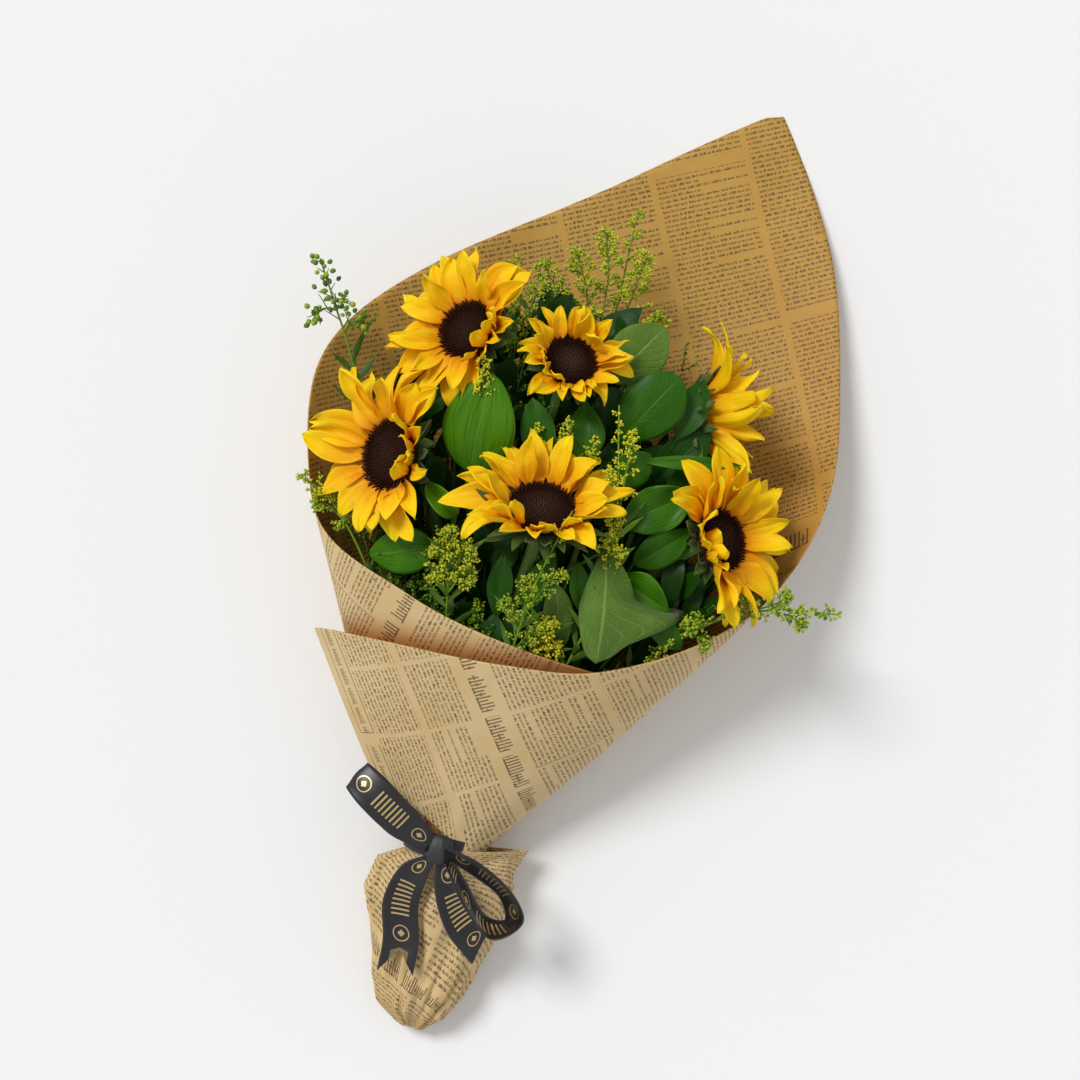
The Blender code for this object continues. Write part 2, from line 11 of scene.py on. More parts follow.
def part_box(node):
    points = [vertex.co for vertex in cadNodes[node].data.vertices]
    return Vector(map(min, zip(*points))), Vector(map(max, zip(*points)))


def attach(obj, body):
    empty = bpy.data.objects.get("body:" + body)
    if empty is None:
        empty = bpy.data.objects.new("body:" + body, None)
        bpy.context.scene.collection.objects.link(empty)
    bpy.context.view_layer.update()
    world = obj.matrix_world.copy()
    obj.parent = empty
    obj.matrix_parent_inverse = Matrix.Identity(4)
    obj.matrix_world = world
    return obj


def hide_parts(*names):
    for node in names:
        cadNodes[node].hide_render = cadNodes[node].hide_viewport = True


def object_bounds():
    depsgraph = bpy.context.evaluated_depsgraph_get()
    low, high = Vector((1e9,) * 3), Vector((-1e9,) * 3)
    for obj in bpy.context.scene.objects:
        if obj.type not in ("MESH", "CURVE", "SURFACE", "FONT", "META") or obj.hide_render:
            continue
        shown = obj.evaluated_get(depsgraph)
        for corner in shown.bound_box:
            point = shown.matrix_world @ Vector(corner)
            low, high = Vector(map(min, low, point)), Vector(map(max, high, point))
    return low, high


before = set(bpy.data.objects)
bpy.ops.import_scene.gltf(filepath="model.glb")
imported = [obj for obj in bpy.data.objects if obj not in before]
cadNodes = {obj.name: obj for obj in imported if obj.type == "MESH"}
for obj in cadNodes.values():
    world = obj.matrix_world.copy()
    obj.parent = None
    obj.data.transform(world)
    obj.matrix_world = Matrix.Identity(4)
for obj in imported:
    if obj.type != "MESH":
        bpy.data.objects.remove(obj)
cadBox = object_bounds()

body = "root"
upright = Vector((0, 0, 1))


def smooth(t):
    t = min(max(t, 0.0), 1.0)
    return t * t * (3 - 2 * t)


def mix(a, b, t):
    return a + (b - a) * t


def bump(x, centre, spread):
    # 1 at the centre, falling smoothly to 0 at spread on both sides
    return smooth(1 - abs(x - centre) / spread)


def aroundBump(degrees, centre, spread):
    away = abs((degrees - centre + 180) % 360 - 180)
    return smooth(1 - away / spread)


def through(points, t):
    # a point at t, 0 to 1, on a smooth curve through the given points
    points = [Vector(p) for p in points]
    place = min(max(t, 0.0), 1.0) * (len(points) - 1)
    i = min(int(place), len(points) - 2)
    f = place - i
    a, b = points[i], points[i + 1]
    before = points[i - 1] if i > 0 else a * 2 - b
    after = points[i + 2] if i + 2 < len(points) else b * 2 - a
    return ((a * 2) + (b - before) * f + (before * 2 - a * 5 + b * 4 - after) * f * f
            + (a * 3 - before - b * 3 + after) * f * f * f) / 2


def squareTo(direction, hint=upright):
    # two unit vectors square to a direction
    direction = direction.normalized()
    if abs(direction.dot(hint)) > 0.97:
        hint = Vector((1, 0, 0))
    side = direction.cross(hint).normalized()
    return side, side.cross(direction)


class Gather:
    def __init__(self):
        self.points = []
        self.faces = []
        self.places = []
        self.tones = []

    def sheet(self, place, columns, rows, tone=0.0, spot=None):
        start = len(self.points)
        for j in range(rows + 1):
            for i in range(columns + 1):
                u, v = i / columns, j / rows
                self.points.append(tuple(place(u, v)))
                self.places.append(spot(u, v) if spot else (u, v))
                self.tones.append(tone(u, v) if callable(tone) else tone)
        for j in range(rows):
            for i in range(columns):
                a = start + j * (columns + 1) + i
                self.faces.append((a, a + 1, a + columns + 2, a + columns + 1))

    def tube(self, route, radii, sides=6, tone=0.0):
        start = len(self.points)
        side = None
        for k, point in enumerate(route):
            onward = route[min(k + 1, len(route) - 1)] - route[max(k - 1, 0)]
            if side is None:
                side, _ = squareTo(onward)
            side = (side - onward * (side.dot(onward) / onward.length_squared)).normalized()
            other = side.cross(onward).normalized()
            for i in range(sides):
                turn = 2 * math.pi * i / sides
                spoke = side * math.cos(turn) + other * math.sin(turn)
                self.points.append(tuple(point + spoke * radii[k]))
                self.places.append((i / sides, k / (len(route) - 1)))
                self.tones.append(tone)
        for k in range(len(route) - 1):
            for i in range(sides):
                a, b = start + k * sides + i, start + k * sides + (i + 1) % sides
                self.faces.append((a, b, b + sides, a + sides))
        last = start + (len(route) - 1) * sides
        self.faces.append(tuple(range(start + sides - 1, start - 1, -1)))
        self.faces.append(tuple(range(last, last + sides)))

    def copy(self, shape, centre, along, size, tone=0.0):
        # a ready-made small shape, stood along a direction; size is its width and its length
        side, other = squareTo(Vector(along))
        axes = np.array((side * size[0], other * size[0], Vector(along).normalized() * size[1]))
        start = len(self.points)
        moved = shape["points"] @ axes + np.array(centre)
        self.points.extend(map(tuple, moved))
        self.places.extend(shape["places"])
        self.tones.extend([tone] * len(moved))
        self.faces.extend(tuple(i + start for i in face) for face in shape["faces"])

    def build(self, name, finish, thickness=0.0):
        mesh = bpy.data.meshes.new(name)
        mesh.from_pydata(self.points, [], self.faces)
        mesh.update()
        layer = mesh.uv_layers.new(name="cut")
        corners = np.empty(len(mesh.loops), np.int32)
        mesh.loops.foreach_get("vertex_index", corners)
        layer.data.foreach_set("uv", np.array(self.places, np.float32)[corners].ravel())
        tones = mesh.attributes.new("tone", "FLOAT", "POINT")
        tones.data.foreach_set("value", np.array(self.tones, np.float32))
        mesh.shade_smooth()
        mesh.materials.append(finish)
        piece = bpy.data.objects.new(name, mesh)
        bpy.context.scene.collection.objects.link(piece)
        if thickness:
            solid = piece.modifiers.new("thickness", "SOLIDIFY")
            solid.thickness = thickness
            solid.offset = 0
        return piece


def budShape(rings=3, sides=6):
    # a closed bud, one unit long, its base at the origin
    points, faces, places = [(0.0, 0.0, 0.0)], [], [(0.0, 0.0)]
    for j in range(1, rings + 1):
        v = j / (rings + 1)
        for i in range(sides):
            turn = 2 * math.pi * (i + 0.5 * (j % 2)) / sides
            r = 0.5 * math.sin(math.pi * v) ** 0.7
            points.append((r * math.cos(turn), r * math.sin(turn), v))
            places.append((i / sides, v))
    points.append((0.0, 0.0, 1.0))
    places.append((0.0, 1.0))
    for i in range(sides):
        n = (i + 1) % sides
        faces.append((0, 1 + n, 1 + i))
        for j in range(rings - 1):
            a, b = 1 + j * sides + i, 1 + j * sides + n
            faces.append((a, b, b + sides, a + sides))
        top = 1 + (rings - 1) * sides
        faces.append((top + i, top + n, len(points) - 1))
    return {"points": np.array(points), "faces": faces, "places": places}


bud = budShape()
floret = budShape(2, 5)


def finished(piece, nodes=()):
    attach(piece, body)
    if nodes:
        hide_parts(*nodes)
    return piece


def closeSeam(piece):
    weld = piece.modifiers.new("seam", "WELD")
    weld.merge_threshold = 0.00002


class Value:
    # a number that changes over a surface
    def __init__(self, finish, socket):
        self.finish = finish
        self.socket = socket

    def __add__(self, other):
        return self.finish.maths("ADD", self, other)

    def __sub__(self, other):
        return self.finish.maths("SUBTRACT", self, other)

    def __rsub__(self, other):
        return self.finish.maths("SUBTRACT", other, self)

    def __mul__(self, other):
        return self.finish.maths("MULTIPLY", self, other)

    def __truediv__(self, other):
        return self.finish.maths("DIVIDE", self, other)

    __radd__ = __add__
    __rmul__ = __mul__

    def above(self, edge):
        return self.finish.maths("GREATER_THAN", self, edge)

    def below(self, edge):
        return self.finish.maths("LESS_THAN", self, edge)

    def whole(self):
        return self.finish.maths("FLOOR", self)

    def part(self):
        return self.finish.maths("FRACT", self)

    def size(self):
        return self.finish.maths("ABSOLUTE", self)

    def power(self, exponent):
        return self.finish.maths("POWER", self, exponent)

    def wave(self):
        return self.finish.maths("SINE", self)

    def least(self, other):
        return self.finish.maths("MINIMUM", self, other)

    def most(self, other):
        return self.finish.maths("MAXIMUM", self, other)

    def ease(self, low, high, start=0.0, end=1.0):
        # rises smoothly from start to end while the value goes from low to high
        made = self.finish.node("ShaderNodeMapRange", {"interpolation_type": "SMOOTHSTEP"},
                                {"Value": self, "From Min": low, "From Max": high,
                                 "To Min": start, "To Max": end})
        return Value(self.finish, made.outputs["Result"])


class Finish:
    # a material while it is being made
    def __init__(self, name, **fixed):
        self.material = bpy.data.materials.new(name)
        self.material.use_nodes = True
        self.tree = self.material.node_tree
        self.shader = self.tree.nodes["Principled BSDF"]
        for socket, value in fixed.items():
            self.shader.inputs[socket.replace("_", " ")].default_value = value

    def feed(self, socket, value):
        if isinstance(value, Value):
            value = value.socket
        if isinstance(value, bpy.types.NodeSocket):
            self.tree.links.new(value, socket)
        else:
            socket.default_value = value

    def node(self, kind, settings=None, values=None):
        made = self.tree.nodes.new(kind)
        for name, value in (settings or {}).items():
            if name == "stops":
                ramp = made.color_ramp.elements
                while len(ramp) < len(value):
                    ramp.new(0.5)
                for stop, (position, shade) in zip(ramp, value):
                    stop.position = position
                    stop.color = (*shade, 1)
            else:
                setattr(made, name, value)
        for name, value in (values or {}).items():
            self.feed(made.inputs[name], value)
        return made

    def maths(self, operation, *values):
        made = self.node("ShaderNodeMath", {"operation": operation}, dict(enumerate(values)))
        return Value(self, made.outputs[0])

    def cut(self):
        # the two coordinates that the surface carries: across and along, or metres on a sheet
        made = self.node("ShaderNodeUVMap", {"uv_map": "cut"})
        parts = self.node("ShaderNodeSeparateXYZ", None, {0: made.outputs[0]})
        return Value(self, parts.outputs[0]), Value(self, parts.outputs[1])

    def tone(self):
        made = self.node("ShaderNodeAttribute", {"attribute_name": "tone"})
        return Value(self, made.outputs["Fac"])

    def place(self):
        return self.node("ShaderNodeTexCoord").outputs["Object"]

    def vector(self, x, y, z=0.0):
        return self.node("ShaderNodeCombineXYZ", None, {0: x, 1: y, 2: z}).outputs[0]

    def clouds(self, where, scale, detail=3.0, rough=0.5):
        made = self.node("ShaderNodeTexNoise", None,
                         {"Vector": where, "Scale": scale, "Detail": detail, "Roughness": rough})
        return Value(self, made.outputs["Fac"])

    def chance(self, x, y):
        # an even random number for each pair of whole numbers
        made = self.node("ShaderNodeTexWhiteNoise", {"noise_dimensions": "2D"},
                         {"Vector": self.vector(x, y)})
        return Value(self, made.outputs["Value"])

    def blend(self, a, b, factor, mode="MIX"):
        made = self.node("ShaderNodeMix", {"data_type": "RGBA", "blend_type": mode},
                         {0: factor, 6: colour(a), 7: colour(b)})
        return made.outputs[2]

    def ramp(self, factor, stops):
        return self.node("ShaderNodeValToRGB", {"stops": stops}, {0: factor}).outputs[0]

    def relief(self, height, depth, strength=1.0):
        made = self.node("ShaderNodeBump", None,
                         {"Strength": strength, "Distance": depth, "Height": height})
        self.feed(self.shader.inputs["Normal"], made.outputs[0])

    def done(self, **links):
        for socket, value in links.items():
            self.feed(self.shader.inputs[socket.replace("_", " ")], value)
        return self.material


class Backdrop(Finish):
    # the same node maths, in the world's nodes
    def __init__(self, tree):
        self.tree = tree


def colour(value):
    return (*value, 1) if isinstance(value, tuple) and len(value) == 3 else value


# light from the world as a fill, and white where the world itself is seen or mirrored
studio = {"height": 1.5, "aimY": 0.006, "turn": 18, "lens": 70,
          "sky": 0.52, "white": 0.90, "floor": 0.93, "floorSize": 60, "floorZ": -0.0006,
          "sun": 1.85, "sunFrom": (-0.75, 0.42, 1.0), "sunSpread": 20}


def makeStudio():
    camera = bpy.data.objects.new("camera", bpy.data.cameras.new("camera"))
    camera.data.lens = studio["lens"]
    camera.location = (0, studio["aimY"], studio["height"])
    camera.rotation_euler = (0, 0, math.radians(studio["turn"]))
    sun = bpy.data.objects.new("sun", bpy.data.lights.new("sun", "SUN"))
    sun.data.energy = studio["sun"]
    sun.data.angle = math.radians(studio["sunSpread"])
    sun.rotation_euler = Vector(studio["sunFrom"]).to_track_quat("Z", "Y").to_euler()
    for thing in (camera, sun):
        bpy.context.scene.collection.objects.link(thing)
    bpy.context.scene.camera = camera
    world = bpy.data.worlds.new("studio")
    world.use_nodes = True
    sky = Backdrop(world.node_tree)
    rays = sky.node("ShaderNodeLightPath").outputs
    seen = Value(sky, rays["Is Camera Ray"]) + Value(sky, rays["Is Transmission Ray"])
    seen = (seen + Value(sky, rays["Is Glossy Ray"])).least(1)
    background = world.node_tree.nodes["Background"].inputs
    background[0].default_value = (1, 1, 1, 1)
    sky.feed(background[1], seen * (studio["white"] - studio["sky"]) + studio["sky"])
    bpy.context.scene.world = world
    bpy.context.scene.view_settings.view_transform = "Standard"
    bpy.ops.mesh.primitive_plane_add(size=studio["floorSize"],
                                     location=(0, 0, studio["floorZ"]))
    floor = bpy.context.object
    floor.name = "floor"
    paint = Finish("floorWhite", Roughness=0.9)
    floor.data.materials.append(paint.done(Base_Color=(*[studio["floor"]] * 3, 1)))


paper = {"outer": (0.64, 0.455, 0.215), "outerPale": (0.71, 0.53, 0.275),
         "inner": (0.52, 0.300, 0.060), "innerDeep": (0.42, 0.19, 0.020),
         # the next colour is painted shade for the inner face's right part
         "innerShadeRight": (0.46, 0.20, 0.022), "foot": (0.60, 0.42, 0.18),
         "footPale": (0.69, 0.50, 0.25), "fibre": (0.5, 0.36, 0.17),
         # gap: the colour of painted shade, multiplied on the outer face in the gap behind the
         # outer lap's edge
         "ink": (0.075, 0.045, 0.022), "gap": (0.62, 0.30, 0.10), "thickness": 0.0006,
         "outerText": {"pitch": 0.0033, "column": 0.052, "gutter": 0.03, "seed": 11,
                       "letter": 0.0010},
         "innerText": {"pitch": 0.0035, "column": 0.070, "gutter": 0.035, "seed": 3,
                       "letter": 0.0011},
         "footText": {"pitch": 0.0031, "column": 0.078, "gutter": 0.02, "seed": 29,
                      "letter": 0.0011}}


def greekedText(paint, along, across, pitch, column, gutter, seed, letter):
    # rows of small uneven marks in columns, like close print seen from afar; no letters
    row = (across / pitch).whole() + seed
    rise = (across / pitch).part()
    block = (along / column).whole()
    inBlock = (along / column).part()
    cell = (along / letter).whole()
    stroke = paint.chance(cell, row)
    fine = paint.chance((along / (letter * 0.42)).whole(), row + 17)
    shift = paint.chance(row, 3.0)
    words = ((along / (letter * 5.3) + shift * 7).part()).above(0.15)
    words = words * ((along / (letter * 8.9) + shift * 3).part()).above(0.08)
    tall = 0.63 + stroke.above(0.72) * 0.17
    inRow = rise.above(0.26) * (tall - rise).above(0)
    shortRow = paint.chance(block, row).above(0.87) * 0.5
    inColumn = inBlock.above(gutter) * ((1 - gutter) - shortRow - inBlock).above(0)
    uneven = (0.45 + 0.55 * fine.above(0.22)) * (0.72 + stroke * 0.28)
    return inRow * words * inColumn * uneven


def bigBars(paint, along, across, low, high, seed):
    # tall uneven strokes that stand where a heading would, without making any letter
    tall = high - low
    cell = (along / (tall * 0.24)).whole()
    spot = (along / (tall * 0.24)).part()
    chance = paint.chance(cell, seed * 1.0)
    words = ((along / (tall * 3.1) + 0.2 * seed).part()).above(0.14)
    top = high - chance.above(0.45) * (tall * 0.26)
    strokes = spot.above(0.30) * (0.72 - spot).above(0)
    strokes = strokes * across.above(low) * (top - across).above(0)
    foot = chance.below(0.5) * (across - (low + tall * 0.06)).size().below(tall * 0.06)
    middle = chance.above(0.62) * (across - (low + tall * 0.42)).size().below(tall * 0.05)
    return strokes.most(foot).most(middle) * words


def rule(value, place, width):
    return (value - place).size().below(width / 2)


def paperGrain(paint):
    where = paint.place()
    return paint.clouds(where, 900, 2), paint.clouds(where, 14, 4, 0.6)


def kraftSheet(paint, plain, pale, fibre, soft):
    sheet = paint.blend(plain, pale, soft.ease(0.35, 0.68))
    return paint.blend(sheet, paper["fibre"], fibre.ease(0.62, 0.8) * 0.35)


def makeOuterPaper(turn):
    # turn is where the sheet's outer edge lies when it is flat: the print runs along it
    paint = Finish("kraftOutside", Specular_IOR_Level=0.28)
    u, v = paint.cut()
    down = u * math.cos(turn) + v * math.sin(turn)
    side = v * math.cos(turn) - u * math.sin(turn)
    text = greekedText(paint, down, side, **paper["outerText"])
    textBlock, box, ruled = 0.064, 0.150, 0.104  # lengths of a block, a frame and a ruled column
    text = text * (side / textBlock).part().above(0.075)
    headed = side.above(0.106) * side.below(0.131)
    banner = side.below(0.0245)
    bare = headed.most(banner)
    heading = bigBars(paint, down, side, 0.1135, 0.1245, 2) * headed
    boxed = (down / box).part().above(0.06)
    lines = (rule(side, 0.0090, 0.0008).most(rule(side, 0.0220, 0.0008))) * boxed
    boxEnd = rule((down / box).part(), 0.06, 0.005) * side.above(0.009) * side.below(0.022)
    between = rule((down / ruled).part() * ruled, 0.001, 0.0006)
    lines = lines.most(boxEnd).most(between * side.above(0.132) * side.below(0.190))
    small = bigBars(paint, down, side, 0.0130, 0.0178, 5) * banner * boxed
    ink = (text * (1 - bare)).most(heading).most(lines * 0.85).most(small)
    fibre, soft = paperGrain(paint)
    sheet = kraftSheet(paint, paper["outer"], paper["outerPale"], fibre, soft)
    inked = paint.blend(sheet, paper["ink"], ink * 0.80)
    # painted shade: darker warm brown in the gap behind the outer lap's edge, by the tone
    # attribute
    shaded = paint.blend(inked, paper["gap"], paint.tone() * 0.9, "MULTIPLY")
    paint.relief(fibre + soft * 0.8, 0.0002, 0.35)
    return paint.done(Base_Color=shaded, Roughness=0.66 + fibre * 0.14)


def makeInnerPaper():
    paint = Finish("kraftInside", Specular_IOR_Level=0.35)
    u, v = paint.cut()
    turn = math.radians(wrap["printTurnInside"])
    along = u * math.cos(turn) + v * math.sin(turn)
    rise = v * math.cos(turn) - u * math.sin(turn)
    text = greekedText(paint, along, rise, **paper["innerText"])
    block = (along / paper["innerText"]["column"]).whole()
    story = rise / 0.061
    gap = paint.chance(block, story.whole()).above(0.55) * story.part().below(0.13)
    headed = (block - 4).size().below(0.5) * rise.above(0.185) * rise.below(0.222)
    heading = bigBars(paint, along, rise, 0.198, 0.2125, 7) * headed
    ink = (text * (1 - gap.most(headed))).most(heading)
    frameAlong = rule(along, 0.232, 0.0007) * rise.above(0.19) * rise.below(0.235)
    ink = ink.most(frameAlong * 0.8)
    fibre, soft = paperGrain(paint)
    sheet = paint.blend(paper["inner"], paper["innerDeep"], soft.ease(0.38, 0.75) * 0.45)
    # painted shade: darker warm brown towards the part of the sheet that forms the cone's right
    # side
    sheet = paint.blend(sheet, paper["innerShadeRight"], u.ease(0.02, 0.26) * 0.65)
    sheet = paint.blend(sheet, (0.62, 0.40, 0.13), fibre.ease(0.6, 0.8) * 0.3)
    inked = paint.blend(sheet, paper["ink"], ink * 0.84)
    paint.relief(fibre + soft * 0.8, 0.0002, 0.35)
    return paint.done(Base_Color=inked, Roughness=0.55 + fibre * 0.14)


# angles go round from the cone's back, at 0; heights of the two edges are from its tip
wrap = {"tip": (0.004, -0.288), "start": 0.072, "straight": 0.008, "blend": 0.045,
        "lapBlend": 0.034, "lapDrop": 0.006, "lapOut": 0.0042, "spread": 0.010,
        "side": 0.546, "skew": 0.037, "height": 0.285, "sink": 0.03,
        "waist": 0.0228, "tieZ": 0.030, "step": 0.0016, "hollow": 0.055, "flare": 0.155,
        "left": ((-235, 0.222), (-180, 0.222), (-142, 0.233), (-90, 0.272), (-63, 0.362),
                 (-32, 0.456), (-8, 0.542), (11, 0.638)),
        "right": ((11, 0.638), (24, 0.564), (45, 0.450), (74, 0.351), (103, 0.286),
                  (148, 0.225), (182, 0.208), (218, 0.199), (262, 0.189)),
        "clear": 0.95, "open": 0.235, "peak": 11, "lapSlant": 0.030, "gapShade": 0.022,
        "columns": 250, "rows": 90, "pleats": 11, "pleatDepth": 0.0016, "ripple": 0.0016,
        "printTurnInside": 36.7}


def edgeAt(edge, degrees):
    for i in range(len(edge) - 1):
        (a0, h0), (a1, h1) = edge[i], edge[i + 1]
        if degrees <= a1 or i == len(edge) - 2:
            break
    before = edge[i - 1] if i > 0 else (2 * a0 - a1, 2 * h0 - h1)
    after = edge[i + 2] if i + 2 < len(edge) else (2 * a1 - a0, 2 * h1 - h0)
    span = a1 - a0
    slope0 = (h1 - before[1]) / (a1 - before[0]) * span
    slope1 = (after[1] - h0) / (after[0] - a0) * span
    f = (degrees - a0) / span
    return ((2 * f ** 3 - 3 * f * f + 1) * h0 + (f ** 3 - 2 * f * f + f) * slope0
            + (3 * f * f - 2 * f ** 3) * h1 + (f ** 3 - f * f) * slope1)


def looseLap(degrees):
    # 0 at the back, 1 on the outer lap, which the ribbon doesn't draw in
    return smooth((degrees - 40) / 30)


def conePoint(degrees, y):
    # a point on the rolled sheet, y metres from the cone's tip
    angle = math.radians(degrees)
    straight = wrap["start"] + wrap["straight"]
    along = max(y - straight, 0)
    opened = smooth(along / wrap["blend"])
    loose = looseLap(degrees)
    lapped = 1 - math.exp(-max(y - wrap["start"] + wrap["lapDrop"], 0) / wrap["lapBlend"])
    opened = mix(opened, lapped, max(loose, smooth((-175 - degrees) / 35)))
    side = mix(wrap["waist"], y * (wrap["side"] - wrap["skew"] * math.sin(angle)), opened)
    height = mix(wrap["waist"], y * wrap["height"], opened)
    middle = mix(wrap["tieZ"], y * wrap["height"] * (1 - wrap["sink"]), opened)
    inner = smooth((-90 - degrees) / 60)
    outer = smooth((degrees - 90) / 60)
    out = outer * wrap["step"] - inner * (wrap["step"] + wrap["hollow"] * along)
    flare = wrap["flare"] * along * smooth((degrees - 195) / 90)
    flare += wrap["spread"] * smooth((degrees - 205) / 57) + wrap["lapOut"] * loose * (1 - opened)
    near = bump(y, straight + 0.012, 0.055)
    pleat = math.sin(wrap["pleats"] * angle + 2 * math.sin(2 * angle))
    out += (1 - 0.8 * loose) * wrap["pleatDepth"] * near * pleat
    roll = noise.noise(Vector((degrees * 0.018, y * 11, 3)))
    out += wrap["ripple"] * roll * smooth(along / 0.06)
    x = mix(0, wrap["tip"][0], opened) + (side + out + flare) * math.sin(angle)
    z = middle - (height + out) * math.cos(angle)
    return Vector((x, wrap["tip"][1] + y, max(z, 0.0004)))


def unrolledTurns(degreesList):
    # how far round the flat sheet each line of the cone comes, in radians
    turns = [0.0]
    tip = Vector((wrap["tip"][0], wrap["tip"][1], 0))
    lines = [(conePoint(d, 0.3) - tip).normalized() for d in degreesList]
    for a, b in zip(lines[:-1], lines[1:]):
        turns.append(turns[-1] + math.acos(min(a.dot(b), 1)))
    zero = min(range(len(degreesList)), key=lambda i: abs(degreesList[i] - wrap["peak"]))
    return [t - turns[zero] for t in turns]


def lowEdge(degrees):
    # the outer lap's lower edge slants up from a point beside the knot
    slant = smooth((degrees - 120) / 150)
    return wrap["start"] - 0.003 * looseLap(degrees) + wrap["lapSlant"] * slant


def gapShadeDepth(degrees, y):
    # how deep a place on the inner lap lies in the gap behind the outer lap's edge: the strength
    # of the painted shade there
    if degrees > -98:
        return 0.0
    over = edgeAt(wrap["right"], degrees + 360)
    return smooth((over + wrap["gapShade"] - y) / wrap["gapShade"])


def makeWrap():
    first, last = wrap["left"][0][0], wrap["right"][-1][0]
    degreesList = [mix(first, last, i / wrap["columns"]) for i in range(wrap["columns"] + 1)]
    turns = unrolledTurns(degreesList)
    tip = Vector((wrap["tip"][0], wrap["tip"][1], 0))

    def onSheet(u, v):
        degrees = degreesList[round(u * wrap["columns"])]
        edge = edgeAt(wrap["left"] if degrees < wrap["peak"] else wrap["right"], degrees)
        return degrees, mix(lowEdge(degrees), edge, v)

    def spot(u, v):
        away = (conePoint(*onSheet(u, v)) - tip).length
        turn = turns[round(u * wrap["columns"])]
        return away * math.sin(turn), away * math.cos(turn)

    gather = Gather()
    # the tone attribute carries painted shade for the gap behind the outer lap's edge
    gather.sheet(lambda u, v: conePoint(*onSheet(u, v)), wrap["columns"], wrap["rows"],
                 lambda u, v: gapShadeDepth(*onSheet(u, v)), spot)
    piece = gather.build("paper_wrap_sheet", makeInnerPaper())
    piece.data.materials.append(makeOuterPaper(math.pi / 2 - turns[-1]))
    solid = piece.modifiers.new("thickness", "SOLIDIFY")
    solid.thickness = paper["thickness"]
    solid.offset = -1
    solid.material_offset = 1
    finished(piece, ("paper_wrap",))
    # where the corners of the cut sheet's faces lie when the cone is unrolled
    spots = np.array(gather.places)
    corners = spots[np.array(gather.faces)]


# the foot's rows, from the tie to its end: y, x, half width, height of the middle, half height
foot = {"stations": ((-0.217, 0.000, 0.0240, 0.030, 0.0240),
                     (-0.2268, 0.001, 0.0244, 0.030, 0.0244),
                     (-0.240, 0.009, 0.050, 0.0250, 0.0245),
                     (-0.262, 0.008, 0.051, 0.0235, 0.0230),
                     (-0.290, 0.013, 0.043, 0.0215, 0.0210),
                     (-0.318, 0.014, 0.034, 0.0200, 0.0195),
                     (-0.338, 0.015, 0.025, 0.0150, 0.0145),
                     (-0.3495, 0.018, 0.012, 0.0090, 0.0085),
                     (-0.3480, 0.018, 0.002, 0.0092, 0.0012)),
        "flat": (0.27, 0.15), "printTurn": -14, "heading": (0.372, 0.381),
        "columns": 210, "rows": 120, "crease": 0.0030}


def stationAt(rows, t):
    place = min(max(t, 0.0), 1.0) * (len(rows) - 1)
    i = min(int(place), len(rows) - 2)
    return [mix(a, b, place - i) for a, b in zip(rows[i], rows[i + 1])]


def footPoint(u, v):
    y, x, side, z, height = stationAt(foot["stations"], v)
    angle = 2 * math.pi * u
    degrees = 360 * u
    billow = aroundBump(degrees, 95, 80) * (1 - smooth((v - 0.10) / 0.34))
    point = Vector((x + side * math.sin(angle), y, z - height * math.cos(angle)))
    target = Vector((0.034 + 0.026 * math.sin(angle), min(y + 0.014, -0.204),
                     0.024 - 0.019 * math.cos(angle)))
    point = point.lerp(target, billow)
    folds = smooth(v / 0.12)
    q = Vector((point.x * 26, point.y * 20, point.z * 20))
    cell = Vector((math.sin(angle) * 2.4, math.cos(angle) * 2.4, v * 2.2 + 7))
    near = noise.voronoi(cell)[0]
    crease = 0.2 - (1 - smooth((near[1] - near[0]) * 2.4)) * 1.2
    crease += 0.6 * (abs(noise.noise(q)) * 2 - 0.6)
    crease += 0.3 * (abs(noise.noise(q * 2.3)) * 2 - 0.6)
    out = Vector((math.sin(angle), 0, -math.cos(angle)))
    point += out * foot["crease"] * folds * crease
    point.z = max(point.z, 0.0005)
    point.y = max(point.y, cadBox[0][1])
    return point


def makeFoot():
    paint = Finish("kraftFoot", Specular_IOR_Level=0.28)
    x, y = paint.cut()
    turn = math.radians(foot["printTurn"])
    along = x * math.cos(turn) + y * math.sin(turn) + 0.5
    rise = y * math.cos(turn) - x * math.sin(turn) + 0.5
    text = greekedText(paint, along, rise, **paper["footText"])
    low, high = foot["heading"]
    headed = rise.above(low - 0.004) * rise.below(high + 0.004)
    heading = bigBars(paint, along, rise, low, high, 3) * headed
    ink = (text * (1 - headed)).most(heading)
    fibre, soft = paperGrain(paint)
    sheet = kraftSheet(paint, paper["foot"], paper["footPale"], fibre, soft)
    inked = paint.blend(sheet, paper["ink"], ink * 0.84)
    paint.relief(fibre + soft * 0.8, 0.0002, 0.35)
    material = paint.done(Base_Color=inked, Roughness=0.64 + fibre * 0.14)
    gather = Gather()
    girth, length = foot["flat"]
    gather.sheet(footPoint, foot["columns"], foot["rows"],
                 spot=lambda u, v: (-u * girth, -v * length))
    piece = gather.build("paper_foot_sheet", material, paper["thickness"])
    closeSeam(piece)
    piece.modifiers.move(1, 0)
    finished(piece, ("paper_foot",))


def headOf(name):
    # a head's centre, facing and disc radius, read from its turned solid
    points = np.empty(len(cadNodes[name].data.vertices) * 3)
    cadNodes[name].data.vertices.foreach_get("co", points)
    points = points.reshape(-1, 3)
    middle = points.mean(0)
    _, _, axes = np.linalg.svd(points - middle)
    axis = axes[2]
    along = (points - middle) @ axis
    away = np.linalg.norm(points - middle - np.outer(along, axis), axis=1)
    rim = along[away > away.max() * 0.995].mean()
    if along.max() - rim > rim - along.min():
        axis, along, rim = -axis, -along, -rim
    return Vector(middle + axis * rim), Vector(axis).normalized(), float(away.max())


